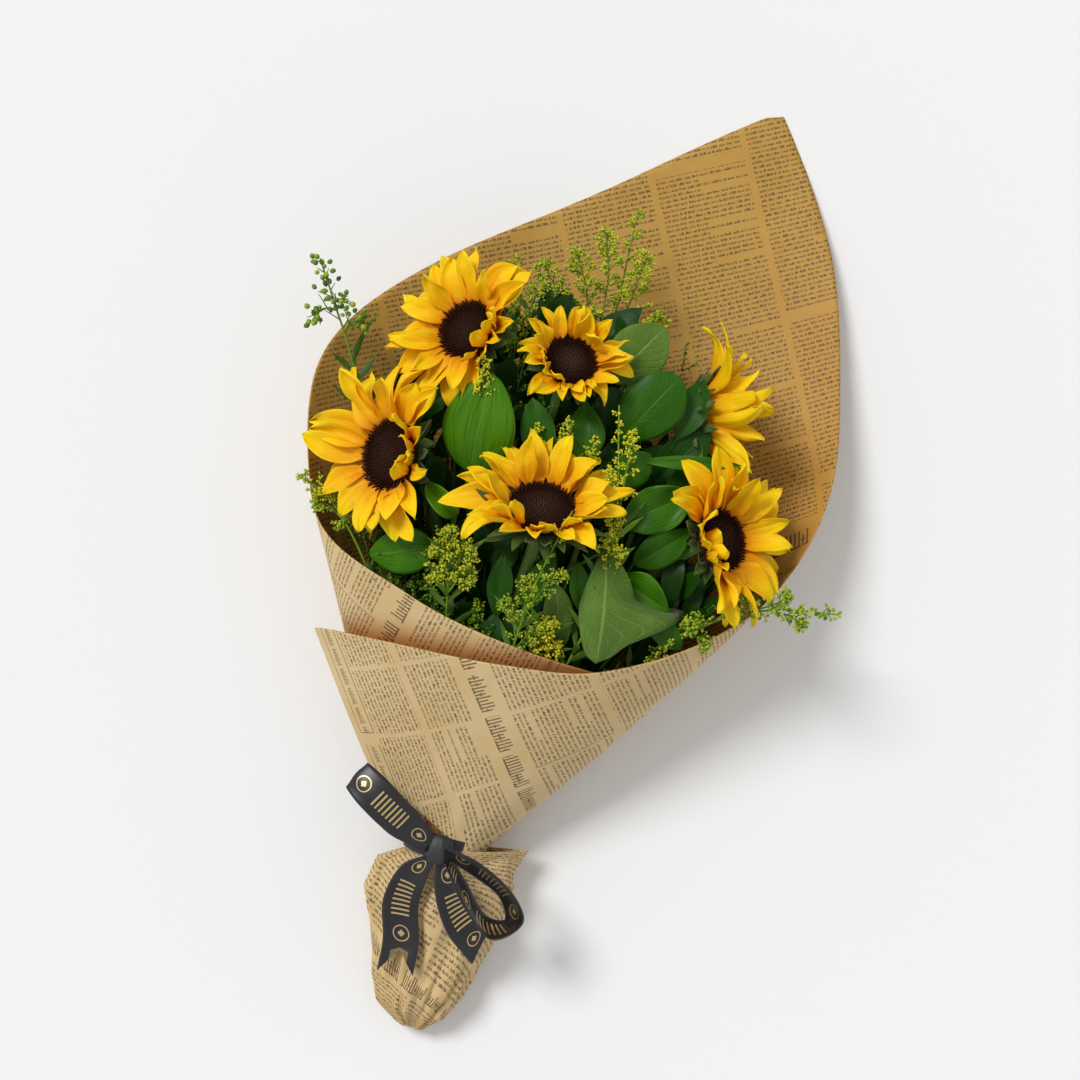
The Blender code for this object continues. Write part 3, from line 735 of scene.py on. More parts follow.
headPlaces = [headOf(name) for name in cadNodes
              if re.fullmatch(r"sunflower_\d_disc", name)]
turnAngle = math.radians(studio["turn"])
pictureUp = Vector((-math.sin(turnAngle), math.cos(turnAngle), 0))


def headAxes(facing):
    # directions in the head's plane: to the right and up, as seen from above
    up = (pictureUp - facing * pictureUp.dot(facing)).normalized()
    return up.cross(facing).normalized(), up


def petal(gather, root, out, facing, shape, tone):
    # one petal or bract: a midline that bends evenly, with an outline, a cup and ripples on it
    side = facing.cross(out)
    length, rise, bend = shape["length"], shape["rise"], shape["bend"]
    bend = bend if abs(bend) > 0.01 else 0.01

    def midline(s):
        x = (math.sin(rise + bend * s) - math.sin(rise)) / bend
        z = (math.cos(rise) - math.cos(rise + bend * s)) / bend
        return x * length, z * length

    def place(u, v):
        t = 2 * u - 1
        x, z = midline(v)
        sway = shape["sway"] * v
        onward = out * math.cos(sway) + side * math.sin(sway)
        across = side * math.cos(sway) - out * math.sin(sway)
        slope = rise + bend * v
        normal = facing * math.cos(slope) - onward * math.sin(slope)
        twist = shape["twist"] * v
        across, normal = (across * math.cos(twist) + normal * math.sin(twist),
                          normal * math.cos(twist) - across * math.sin(twist))
        outline = math.sin(math.pi * min(v, 1) ** shape["widest"]) ** shape["blunt"]
        half = shape["width"] / 2 * max(outline, 0.34 * (1 - v) ** 2)
        cup = shape["fold"] * half * abs(t) ** 1.4
        pleat = 0.09 * half * math.cos(3 * math.pi * t + shape["phase"]) * (1 - 0.6 * v)
        edge = shape["ripple"] * half * t * math.sin(7 * v + shape["phase"]) * abs(t)
        point = root + onward * x + facing * z + across * half * t
        crumple = noise.noise(Vector((u * 2.2, v * 3.5, 9 * tone)))
        crumple *= shape["crumple"] * length * v
        return point + normal * (cup + pleat + edge + crumple)

    gather.sheet(place, 10, 13, tone)


# reach and behind: how far round and below a disc its petals keep other leaves away
head = {"florets": 420, "floretTurn": 2.399963, "dome": 0.16, "bracts": 13, "bractWidth": 0.0085,
        "reach": 0.032, "behind": 0.014}
# sides: where round the head, how wide, then change of length, rise, curl and width
flowers = {
    "sunflower_1": {"outer": 17, "inner": 15, "length": 0.039, "width": 0.0165, "rise": 22,
                    "sepals": 0.78, "core": 0.30,
                    "sides": ((80, 50, 0.10, 6, 0, 0), (175, 55, 0.14, -4, 0, 0.1),
                              (-28, 62, -0.38, 34, 34, -0.25), (-105, 40, 0.02, -12, -20, 0.1))},
    "sunflower_2": {"outer": 17, "inner": 15, "length": 0.0265, "width": 0.0112, "rise": 32,
                    "sepals": 0.85, "core": 0.0,
                    "sides": ((48, 34, 0.12, 26, 52, 0.3), (0, 34, 0.16, -4, 0, 0),
                              (-95, 70, -0.34, 12, 0, -0.15), (180, 50, -0.14, 16, 0, 0))},
    "sunflower_3": {"outer": 17, "inner": 15, "length": 0.041, "width": 0.0180, "rise": 14,
                    "sepals": 0.80, "core": 0.30,
                    "sides": ((176, 55, 0.50, -8, 0, 0.2), (116, 50, 0.36, 2, 0, 0.1),
                              (-4, 70, -0.42, 38, 36, -0.35), (-100, 30, -0.12, -4, -44, 0.1))},
    "sunflower_4": {"outer": 17, "inner": 15, "length": 0.038, "width": 0.0160, "rise": 26,
                    "sepals": 1.15, "core": 0.05,
                    "sides": ((85, 70, 0.10, 14, 0, 0), (165, 40, 0.16, -6, 0, 0),
                              (-90, 78, -0.32, 30, 20, -0.2), (-10, 34, 0.0, 8, 0, 0))},
    "sunflower_5": {"outer": 17, "inner": 15, "length": 0.039, "width": 0.0170, "rise": 22,
                    "sepals": 0.85, "core": 0.22,
                    "sides": ((60, 60, 0.16, 10, 0, 0.1), (0, 44, 0.14, -2, 0, 0),
                              (190, 64, -0.42, 38, 30, -0.25), (-75, 40, 0.10, -8, 0, 0))},
    "sunflower_6": {"outer": 19, "inner": 16, "length": 0.052, "width": 0.0170, "rise": 44,
                    "sepals": 1.35, "core": 0.30,
                    "sides": ((90, 60, 0.02, -6, -24, 0), (-85, 70, 0.26, -14, -10, 0.1),
                              (180, 60, 0.10, 8, 10, 0))},
}


def makePetalFinish():
    paint = Finish("petalGold", Specular_IOR_Level=0.16, Subsurface_Weight=0.12,
                   Subsurface_Scale=0.002)
    u, v = paint.cut()
    tone = paint.tone()
    where = paint.vector(u * 34 + tone * 90, v * 2.2, tone * 31)
    veins = paint.clouds(where, 1.0, 2)
    patches = paint.clouds(paint.vector(u * 2 + tone * 50, v * 3, tone * 17), 1.0, 2)
    base = paint.ramp(v, [(0.0, (0.66, 0.18, 0.001)), (0.18, (0.88, 0.38, 0.001)),
                          (0.48, (0.95, 0.56, 0.002)), (1.0, (0.98, 0.70, 0.006))])
    deep = paint.blend(base, (0.80, 0.27, 0.003), (1 - v) * tone.ease(0.3, 1.0) * 0.55)
    pale = paint.blend(deep, (1.0, 0.76, 0.016), patches.ease(0.5, 0.8) * 0.5)
    lined = paint.blend(pale, (0.72, 0.28, 0.001), veins.ease(0.54, 0.72) * 0.5)
    tip = v.ease(0.965, 1.0) * patches.ease(0.45, 0.6)
    lined = paint.blend(lined, (0.35, 0.12, 0.01), tip * 0.6)
    ridge = (u * 2 - 1).size()
    paint.relief(veins * 0.7 + ridge.ease(0.0, 0.14) * 0.5, 0.0006, 0.55)
    return paint.done(Base_Color=lined, Roughness=0.47 + veins * 0.2)


def makeDiscFinish():
    paint = Finish("discBrown", Specular_IOR_Level=0.08)
    tone = paint.tone()
    where = paint.place()
    spots = paint.clouds(where, 700, 2)
    base = paint.ramp(tone, [(0.0, (0.105, 0.062, 0.036)), (0.35, (0.060, 0.032, 0.018)),
                             (0.62, (0.028, 0.011, 0.006)), (0.86, (0.024, 0.005, 0.002)),
                             (1.0, (0.075, 0.018, 0.004))])
    speckled = paint.blend(base, (0.10, 0.065, 0.04), spots.ease(0.6, 0.75) * 0.35)
    return paint.done(Base_Color=speckled, Roughness=0.75)


def makeBractFinish():
    paint = Finish("bractGreen", Specular_IOR_Level=0.2, Sheen_Weight=0.12)
    u, v = paint.cut()
    tone = paint.tone()
    hairs = paint.clouds(paint.vector(u * 18 + tone * 70, v * 14, tone * 9), 3.0, 3)
    paler = v.ease(0.2, 1.0) * 0.5 + tone * 0.25
    base = paint.blend((0.034, 0.075, 0.008), (0.13, 0.20, 0.03), paler)
    frosted = paint.blend(base, (0.30, 0.36, 0.13), hairs.ease(0.58, 0.78) * 0.4)
    paint.relief(hairs, 0.0005, 0.6)
    return paint.done(Base_Color=frosted, Roughness=0.8)


def makeHead(name, petalFinish, discFinish, bractFinish):
    settings = flowers[name]
    dice = random.Random(name)
    centre, facing, radius = headOf(name + "_disc")
    right, up = headAxes(facing)
    depth = 0.30 * radius + 0.006

    def spoke(degrees):
        turn = math.radians(degrees)
        return right * math.cos(turn) + up * math.sin(turn)

    gather = Gather()
    rings = ((settings["outer"], 1.0, 0.0, 0.0), (settings["inner"], 0.84, 17.0, 0.0012))
    for ring, (count, reach, lift, above) in enumerate(rings):
        for k in range(count):
            degrees = 360 * (k + 0.5 * ring) / count + dice.uniform(-7, 7)
            length = settings["length"] * reach * dice.uniform(0.88, 1.1)
            rise = settings["rise"] + lift + dice.uniform(-9, 9)
            bend = -36 + 30 * ring + dice.uniform(-34, 30)
            wide = dice.uniform(0.74, 1.12)
            for toward, spread, longer, higher, curl, wider in settings["sides"]:
                near = aroundBump(degrees, toward, spread)
                length *= 1 + longer * near
                rise += higher * near
                bend += curl * near
                wide *= 1 + wider * near
            shape = {"length": length, "rise": math.radians(rise), "bend": math.radians(bend),
                     "width": settings["width"] * wide, "widest": dice.uniform(0.78, 0.98),
                     "sway": math.radians(dice.uniform(-24, 24)),
                     "twist": math.radians(dice.uniform(-48, 48)),
                     "fold": dice.uniform(0.15, 0.75), "ripple": dice.uniform(0.12, 0.5),
                     "phase": dice.uniform(0, 6), "blunt": dice.uniform(0.56, 0.86),
                     "crumple": 0.09}
            out = spoke(degrees)
            petal(gather, centre + out * radius * 0.955 + facing * (above - 0.0008), out, facing,
                  shape, dice.random())
    piece = gather.build(name + "_ray_petals", petalFinish, 0.00028)
    finished(piece, (name + "_petals",))

    gather = Gather()
    dome = head["dome"] * radius

    def receptacle(u, v):
        profile = ((0.0, dome * 0.7), (0.6 * radius, dome * 0.5), (0.92 * radius, dome * 0.1),
                   (radius * 0.97, -0.002), (radius * 0.6, -depth * 0.6), (0.0052, -depth))
        r, z = stationAt(profile, v)
        return centre + spoke(360 * u) * r + facing * z

    gather.sheet(receptacle, 40, 20, 0.7)
    for k in range(head["florets"]):
        share = math.sqrt((k + 0.5) / head["florets"])
        turn = k * head["floretTurn"]
        out = right * math.cos(turn) + up * math.sin(turn)
        height = dome * (1 - share ** 2) * 0.75
        stands = facing + out * (0.15 + 0.75 * share ** 4)
        tall = 0.0017 + 0.0026 * smooth((share - 0.55) / 0.4) + dice.uniform(0, 0.0006)
        gather.copy(floret, centre + out * share * radius * 0.97 + facing * (height - 0.0006),
                    stands, (0.0013 + 0.0004 * share, tall),
                    mix(settings["core"], 1, min(share + dice.uniform(-0.08, 0.08), 1)))
    piece = gather.build(name + "_florets", discFinish)
    finished(piece, (name + "_disc",))

    gather = Gather()
    for ring in range(2):
        for k in range(head["bracts"]):
            degrees = 360 * (k + 0.5 * ring) / head["bracts"] + dice.uniform(-8, 8)
            length = radius * (settings["sepals"] - 0.12 * ring) * dice.uniform(0.8, 1.15)
            rise = settings["rise"] * 0.35 - 12 * ring + dice.uniform(-10, 14)
            shape = {"length": length, "rise": math.radians(rise), "width": head["bractWidth"],
                     "bend": math.radians(dice.uniform(-10, 40)), "widest": 0.62,
                     "sway": math.radians(dice.uniform(-14, 14)),
                     "twist": math.radians(dice.uniform(-25, 25)), "fold": 0.35, "ripple": 0.12,
                     "phase": dice.uniform(0, 6), "blunt": 0.8, "crumple": 0.06}
            out = spoke(degrees)
            root = centre + out * radius * (0.90 - 0.12 * ring)
            root -= facing * (0.0045 + 0.0016 * ring)
            petal(gather, root, out, facing, shape, dice.random())
    piece = gather.build(name + "_sepals", bractFinish, 0.0004)
    finished(piece, (name + "_bracts",))


commonLeaf = {"bulge": 0.004, "face": (0, 0, 1), "skin": "glossy"}
leaves = {
    "leaf_upright": {
        "base": (-0.058, 0.034, 0.104), "tip": (-0.063, 0.100, 0.130), "width": 0.050,
        "bulge": 0.008, "face": (-0.1, -0.3, 1), "widest": 0.45, "blunt": 0.62, "fold": 0.10,
        "round": 0.22, "wave": 0.02, "tone": 0.68},
    "leaf_low_left": {
        "base": (-0.066, -0.020, 0.098), "tip": (-0.106, -0.038, 0.094), "width": 0.033,
        "face": (0, -0.2, 1), "widest": 0.42, "blunt": 0.7, "fold": 0.12, "round": 0.1,
        "wave": 0.05, "tone": 0.6},
    "leaf_curled": {
        "base": (-0.058, 0.004, 0.104), "tip": (-0.083, 0.018, 0.107), "width": 0.017,
        "bulge": 0.008, "widest": 0.45, "blunt": 0.8, "fold": 0.6, "round": -0.3, "wave": 0.05,
        "tone": 0.95},
    "leaf_pointed": {
        "base": (0.012, 0.066, 0.104), "tip": (0.000, 0.104, 0.098), "width": 0.028, "widest": 0.4,
        "blunt": 0.95, "fold": 0.2, "round": 0.1, "wave": 0.04, "tone": 0.35},
    "leaf_centre": {
        "base": (0.036, 0.058, 0.106), "tip": (0.052, 0.083, 0.110), "width": 0.026,
        "face": (0.2, 0, 1), "widest": 0.45, "blunt": 0.8, "fold": 0.15, "round": 0.15,
        "wave": 0.06, "tone": 0.4},
    "leaf_round": {
        "base": (0.030, 0.086, 0.098), "tip": (0.055, 0.138, 0.108), "width": 0.042,
        "bulge": 0.006, "widest": 0.55, "blunt": 0.55, "fold": 0.05, "round": 0.2, "wave": 0.04,
        "tone": 0.32},
    "leaf_behind": {
        "base": (0.030, 0.086, 0.078), "tip": (0.012, 0.118, 0.090), "width": 0.032,
        "bulge": 0.003, "widest": 0.5, "blunt": 0.6, "fold": 0.1, "round": 0.15, "wave": 0.04,
        "tone": 0.1},
    "leaf_wavy": {
        "base": (0.048, 0.034, 0.106), "tip": (0.086, 0.066, 0.108), "width": 0.034,
        "face": (0, -0.2, 1), "widest": 0.5, "blunt": 0.75, "fold": 0.25, "round": -0.05,
        "wave": 0.22, "tone": 0.5},
    "leaf_side": {
        "base": (0.064, 0.010, 0.098), "tip": (0.094, 0.044, 0.102), "width": 0.026,
        "face": (0.2, -0.2, 1), "widest": 0.45, "blunt": 0.85, "fold": 0.25, "round": 0.1,
        "wave": 0.1, "tone": 0.45},
    "leaf_low_right": {
        "base": (0.058, -0.002, 0.108), "tip": (0.096, -0.012, 0.106), "width": 0.031,
        "face": (0, -0.2, 1), "widest": 0.4, "blunt": 0.95, "fold": 0.3, "round": 0.0,
        "wave": 0.08, "tone": 0.6},
    "sunflower_2_leaf": {
        "base": (0.012, 0.122, 0.086), "tip": (0.036, 0.168, 0.090), "width": 0.040, "widest": 0.5,
        "blunt": 0.7, "fold": 0.1, "round": 0.1, "wave": 0.12, "skin": "downy", "tone": 0.42},
    "sunflower_4_leaf": {
        "base": (0.044, 0.012, 0.126), "tip": (0.060, -0.060, 0.117), "width": 0.044,
        "bulge": 0.012, "face": (0.1, 0, 1), "widest": 0.55, "blunt": 0.5, "fold": -0.12,
        "round": 0.30, "wave": 0.30, "skin": "downy", "tone": 0.40, "lobe": 1.7, "narrow": 0.35},
    "sunflower_5_leaf": {
        "base": (0.018, -0.018, 0.110), "tip": (0.036, -0.060, 0.096), "width": 0.022,
        "bulge": 0.005, "face": (0.1, 0, 1), "widest": 0.45, "blunt": 0.85, "fold": 0.3,
        "round": 0.1, "wave": 0.1, "skin": "downy", "tone": 0.35},
}


def leafStart(name, tip):
    # where the leaf's stalk leaves its twig: the far end of the solid from its tip
    points = [v.co for v in cadNodes[name].data.vertices]
    points.sort(key=lambda p: -(p - tip).length)
    return sum((p.copy() for p in points[:4]), Vector()) / 4


def blade(gather, base, tip, face, shape, tone, columns=14, rows=22):
    # a leaf's surface from base to tip, its upper side towards face
    middle = (base + tip) / 2 + face * shape["bulge"]
    stretch = math.log(0.5) / math.log(shape["widest"])

    def spine(t):
        s = 1 - t
        return base * s * s + (middle * 2 - (base + tip) / 2) * 2 * s * t + tip * t * t

    def place(u, v):
        t = 2 * u - 1
        point = spine(v)
        along = spine(min(v + 0.02, 1)) - spine(max(v - 0.02, 0))
        across = along.cross(face).normalized()
        normal = across.cross(along).normalized()
        outline = math.sin(math.pi * v ** stretch) ** shape["blunt"]
        half = max(shape["width"] / 2 * outline, 0.0008 * (1 - v))
        half *= 1 + shape.get("lobe", 0) * bump(v, 0.62, 0.24) * smooth(-t * 2)
        half *= 1 - shape.get("narrow", 0) * smooth(t * 2)
        lift = (shape["fold"] * abs(t) - shape["round"] * t * t) * half
        lift += shape["wave"] * half * t * t * math.sin(9 * v + 3 * t + 8 * tone)
        lift -= 0.0005 * math.exp(-(t / 0.09) ** 2) * (1 - v)
        return point + across * half * t * (1 - 0.25 * shape["fold"]) + normal * lift

    gather.sheet(place, columns, rows, tone)


def makeGlossyFinish():
    paint = Finish("leafGlossy", Coat_Weight=0.03, Coat_Roughness=0.2, Specular_IOR_Level=0.13)
    u, v = paint.cut()
    tone = paint.tone()
    t = (u * 2 - 1).size()
    rib = 1 - t.ease(0.012, 0.05)
    drift = paint.clouds(paint.vector(u * 3, v * 3, tone * 20), 1.0, 1)
    slant = (v * 11 - t * 4.2 + drift * 0.8).part()
    veins = (1 - (slant - 0.5).size().ease(0.02, 0.12)) * (1 - rib) * t.ease(0.0, 0.5, 1.0, 0.3)
    lines = paint.clouds(paint.vector((u - 0.5) * (34 - v * 9), v * 2.2, tone * 5), 1.0, 2)
    patches = paint.clouds(paint.place(), 60, 3)
    # the lowest tones give near-black leaves: painted shade for leaves deep in the cone
    base = paint.ramp(tone, [(0.0, (0.005, 0.028, 0.001)), (0.2, (0.012, 0.070, 0.001)),
                             (0.6, (0.046, 0.175, 0.001)), (1.0, (0.150, 0.340, 0.006))])
    base = paint.blend(base, (0.090, 0.235, 0.006), patches.ease(0.42, 0.75) * tone * 0.6)
    base = paint.blend(base, (0.010, 0.070, 0.001), lines.ease(0.45, 0.7) * 0.55)
    base = paint.blend(base, (0.090, 0.260, 0.014), veins * tone * 0.35)
    base = paint.blend(base, (0.150, 0.330, 0.030), rib * tone * 0.6)
    base = paint.blend(base, (0.230, 0.400, 0.040), t.ease(0.95, 1.0) * tone * 0.7)
    paint.relief(1 - rib * 0.6 - veins * 0.4 + lines * 0.5, 0.0006, 0.5)
    return paint.done(Base_Color=base, Roughness=0.30 + lines * 0.16)


def makeDownyFinish():
    paint = Finish("leafDowny", Sheen_Weight=0.12, Specular_IOR_Level=0.2)
    u, v = paint.cut()
    tone = paint.tone()
    t = (u * 2 - 1).size()
    rib = 1 - t.ease(0.02, 0.07)
    slant = (v * 8 - t * 3.6).part()
    veins = (1 - (slant - 0.5).size().ease(0.03, 0.12)) * (1 - rib)
    cells = paint.node("ShaderNodeTexVoronoi", {"feature": "DISTANCE_TO_EDGE"},
                       {"Vector": paint.place(), "Scale": 260.0})
    net = 1 - Value(paint, cells.outputs["Distance"]).ease(0.0, 0.12)
    patches = paint.clouds(paint.place(), 60, 3)
    base = paint.ramp(tone, [(0.0, (0.036, 0.090, 0.006)), (0.5, (0.090, 0.190, 0.016)),
                             (1.0, (0.180, 0.310, 0.060))])
    base = paint.blend(base, (0.150, 0.260, 0.040), patches.ease(0.4, 0.8) * 0.6)
    base = paint.blend(base, (0.230, 0.340, 0.080), (veins * 0.5).most(rib).most(net * 0.2) * 0.7)
    paint.relief(1 - veins * 0.7 - rib * 0.8 - net * 0.25 + patches * 0.5, 0.0010, 0.7)
    return paint.done(Base_Color=base, Roughness=0.62 + patches * 0.15)


def makeLeaf(name, skins):
    shape = {**commonLeaf, **leaves[name]}
    base, tip = Vector(shape["base"]), Vector(shape["tip"])
    face = Vector(shape["face"]).normalized()
    start = leafStart(name, tip)
    gather = Gather()
    finish = skins[shape["skin"]]
    blade(gather, base, tip, face, shape, shape["tone"])
    piece = gather.build(name + "_blade", finish, 0.0005)
    finished(piece, (name,))
    stalk = Gather()
    middle = start.lerp(base, 0.5) + Vector((0, 0, -0.002))
    route = [through((start, middle, base, base.lerp(tip, 0.25)), k / 9) for k in range(10)]
    stalk.tube(route, [0.0012 - 0.00007 * k for k in range(10)], 6, shape["tone"])
    finished(stalk.build(name + "_stalk", finish), ())


# lane: the stalk's heading and distance from the middle of the tie; bloom: the flowering share
sprigs = {
    "goldenrod_outer_left": {
        "kind": "beaded", "lane": (180, 0.0118), "bloom": 0.30, "spread": 0.013, "twigs": 13,
        "buds": 2, "size": 0.0042, "tone": 0.36, "leafy": (0.24, 0.66),
        "route": ((-0.050, -0.130, 0.048), (-0.112, -0.020, 0.068), (-0.152, 0.070, 0.070),
                  (-0.186, 0.120, 0.066), (-0.203, 0.143, 0.062)),
        "arms": ((0.78, (-0.176, 0.118, 0.076)), (0.76, (-0.194, 0.100, 0.070)),
                 (0.70, (-0.160, 0.108, 0.078)))},
    "goldenrod_left_edge": {
        "kind": "cluster", "lane": (150, 0.0153), "bloom": 0.30, "spread": 0.014, "twigs": 16,
        "buds": 13, "size": 0.0019, "tone": 0.56, "leafy": (0.20, 0.52),
        "route": ((-0.046, -0.140, 0.053), (-0.100, -0.055, 0.082), (-0.140, -0.014, 0.082),
                  (-0.170, -0.002, 0.080)),
        "arms": ((0.68, (-0.152, -0.016, 0.080)), (0.66, (-0.142, -0.004, 0.074)),
                 (0.62, (-0.130, -0.024, 0.080)))},
    "goldenrod_top": {
        "kind": "plume", "lane": (270, 0.0059), "bloom": 0.42, "spread": 0.024, "twigs": 26,
        "buds": 24, "size": 0.0021, "tone": 0.62,
        "route": ((-0.004, -0.130, 0.016), (0.000, 0.000, 0.020), (0.004, 0.130, 0.034),
                  (-0.006, 0.246, 0.046)),
        "arms": ((0.56, (-0.022, 0.222, 0.058)), (0.54, (-0.037, 0.202, 0.060)),
                 (0.50, (-0.056, 0.188, 0.062)), (0.52, (0.032, 0.178, 0.056)),
                 (0.58, (0.010, 0.214, 0.058)), (0.50, (0.022, 0.154, 0.062)),
                 (0.46, (-0.012, 0.166, 0.066)))},
    "goldenrod_top_left": {
        "kind": "plume", "lane": (240, 0.0118), "bloom": 0.30, "spread": 0.017, "twigs": 16,
        "buds": 16, "size": 0.0019, "tone": 0.54,
        "route": ((-0.014, -0.130, 0.018), (-0.042, 0.000, 0.034), (-0.050, 0.110, 0.058),
                  (-0.058, 0.190, 0.066)),
        "arms": ((0.66, (-0.076, 0.182, 0.072)), (0.64, (-0.046, 0.172, 0.074)),
                 (0.60, (-0.068, 0.150, 0.082)))},
    "goldenrod_inner": {
        "kind": "spike", "lane": (46.4, 0.0143), "bloom": 0.40, "spread": 0.010, "twigs": 26,
        "buds": 8, "size": 0.0019, "tone": 0.78,
        "route": ((0.020, -0.160, 0.056), (0.036, -0.100, 0.084), (0.048, -0.030, 0.116),
                  (0.044, 0.030, 0.128), (0.022, 0.106, 0.124)),
        "arms": ((0.66, (0.028, 0.064, 0.132)), (0.74, (0.036, 0.092, 0.126)),
                 (0.60, (0.040, 0.040, 0.132)))},
    "goldenrod_front_left": {
        "kind": "cluster", "lane": (106.4, 0.0143), "bloom": 0.22, "spread": 0.014, "twigs": 26,
        "buds": 13, "size": 0.0019, "tone": 0.66,
        "route": ((-0.012, -0.165, 0.055), (-0.032, -0.100, 0.084), (-0.048, -0.045, 0.108),
                  (-0.056, -0.010, 0.118)),
        "arms": ((0.76, (-0.066, -0.020, 0.114)), (0.78, (-0.040, -0.014, 0.120)),
                 (0.74, (-0.034, -0.030, 0.112)), (0.72, (-0.056, -0.036, 0.106)),
                 (0.80, (-0.060, -0.006, 0.120)))},
    "goldenrod_front": {
        "kind": "spike", "lane": (90, 0.0160), "bloom": 0.50, "spread": 0.012, "twigs": 30,
        "buds": 9, "size": 0.0016, "tone": 0.55,
        "route": ((-0.001, -0.190, 0.0486), (0.001, -0.160, 0.0590), (0.004, -0.110, 0.086),
                  (0.005, -0.060, 0.116), (0.006, -0.022, 0.142), (0.014, 0.030, 0.160)),
        "arms": ((0.70, (0.000, -0.020, 0.138)), (0.66, (-0.010, -0.040, 0.122)),
                 (0.74, (0.022, -0.010, 0.146)), (0.62, (0.020, -0.048, 0.118)))},
    "goldenrod_rim": {
        "kind": "cluster", "lane": (73.6, 0.0150), "bloom": 0.26, "spread": 0.013, "twigs": 20,
        "buds": 12, "size": 0.0021, "tone": 0.80,
        "route": ((0.003, -0.190, 0.0484), (0.006, -0.160, 0.0590), (0.014, -0.110, 0.080),
                  (0.020, -0.076, 0.095), (0.026, -0.040, 0.119)),
        "arms": ((0.74, (0.014, -0.056, 0.108)), (0.76, (0.034, -0.058, 0.106)),
                 (0.80, (0.022, -0.044, 0.116)), (0.72, (0.026, -0.070, 0.100)))},
    "goldenrod_right": {
        "kind": "beaded", "lane": (30, 0.0161), "bloom": 0.34, "spread": 0.011, "twigs": 20,
        "buds": 5, "size": 0.0026, "tone": 0.50, "leafy": (0.20, 0.44),
        "route": ((0.030, -0.160, 0.051), (0.078, -0.075, 0.084), (0.122, -0.014, 0.106),
                  (0.162, 0.010, 0.114), (0.203, 0.020, 0.112)),
        "arms": ((0.62, (0.138, 0.012, 0.116)), (0.58, (0.112, -0.018, 0.110)),
                 (0.72, (0.166, 0.022, 0.118)), (0.78, (0.182, 0.006, 0.112)),
                 (0.56, (0.126, -0.028, 0.104)))},
    "goldenrod_deep": {
        "kind": "cluster", "lane": (133.6, 0.0143), "bloom": 0.46, "spread": 0.018, "twigs": 34,
        "buds": 12, "size": 0.0017, "tone": 0.30,
        "route": ((-0.026, -0.160, 0.048), (-0.058, -0.100, 0.068), (-0.086, -0.050, 0.082)),
        "arms": ((0.60, (-0.068, -0.044, 0.086)), (0.55, (-0.044, -0.052, 0.084)),
                 (0.50, (-0.022, -0.058, 0.080)), (0.66, (-0.100, -0.030, 0.088)),
                 (0.62, (-0.080, -0.060, 0.080)), (0.45, (0.000, -0.066, 0.078)))},
}
lean = {"cluster": 0.5, "plume": 1.1, "beaded": 0.8, "spike": 0.8}  # how far twigs point ahead
tie = Vector((0.0, -0.217, 0.030))


def makeGoldenrodFinish():
    paint = Finish("goldenrodGreen", Specular_IOR_Level=0.35)
    tone = paint.tone()
    _, v = paint.cut()
    specks = paint.clouds(paint.place(), 500, 2)
    base = paint.ramp(tone, [(0.0, (0.016, 0.060, 0.004)), (0.2, (0.060, 0.150, 0.008)),
                             (0.42, (0.190, 0.330, 0.012)), (0.65, (0.480, 0.560, 0.016)),
                             (0.85, (0.740, 0.660, 0.014)), (1.0, (0.850, 0.620, 0.010))])
    light = paint.blend(base, (0.62, 0.66, 0.10), v.ease(0.5, 1.0) * tone.ease(0.3, 0.8) * 0.4)
    dark = paint.blend(light, (0.05, 0.10, 0.01), specks.ease(0.58, 0.75) * 0.35)
    return paint.done(Base_Color=dark, Roughness=0.6)


def ahead(points, t):
    return (through(points, min(t + 0.02, 1)) - through(points, max(t - 0.02, 0))).normalized()


def insideCone(point, share):
    # whether a point is inside the cone drawn in to a share of its size
    y = point.y - wrap["tip"][1]
    middle = y * wrap["height"] * (1 - wrap["sink"])
    x = (point.x - wrap["tip"][0]) / (wrap["side"] * y)
    return math.hypot(x, (point.z - middle) / (wrap["height"] * y)) < share


def clearOfPaper(point):
    # inside the cone, or over its front edge where it is open
    y = point.y - wrap["tip"][1]
    middle = y * wrap["height"] * (1 - wrap["sink"])
    return insideCone(point, wrap["clear"]) or (y > wrap["open"] and point.z > middle)


def clearOfHeads(point):
    # not between or in front of any head's petals
    for middle, facing, radius in headPlaces:
        away = point - middle
        height = away.dot(facing)
        aside = (away - facing * height).length
        if height > -head["behind"] and aside < radius + head["reach"]:
            return False
    return True


def floweringTwig(gather, base, direction, length, settings, dice):
    # one thin side twig with its buds
    if settings["kind"] != "beaded" and not clearOfPaper(base + direction * length * 1.1):
        return
    droop = dice.uniform(-0.05, 0.25)
    bent = [base + direction * length * t + upright * (droop * length * t * (1 - 0.9 * t))
            for t in (0, 0.25, 0.5, 0.75, 1)]
    gather.tube(bent, [0.00042, 0.0004, 0.00035, 0.0003, 0.00025], 4,
                0.12 + settings["tone"] * 0.35)
    for k in range(settings["buds"]):
        t = (k + 1) / settings["buds"]
        if settings["kind"] != "beaded":
            t = dice.uniform(0.25, 1)
        place = through(bent, t)
        away = Vector([dice.uniform(-1, 1) for _ in range(3)])
        away = (away + upright * 0.5 + direction * 0.3).normalized()
        grown = settings["size"] * dice.uniform(0.7, 1.2)
        tone = min(max(settings["tone"] + dice.uniform(-0.18, 0.18), 0), 1)
        gather.copy(bud, place + away * grown * 0.45, away, (grown * 0.85, grown * 1.15), tone)


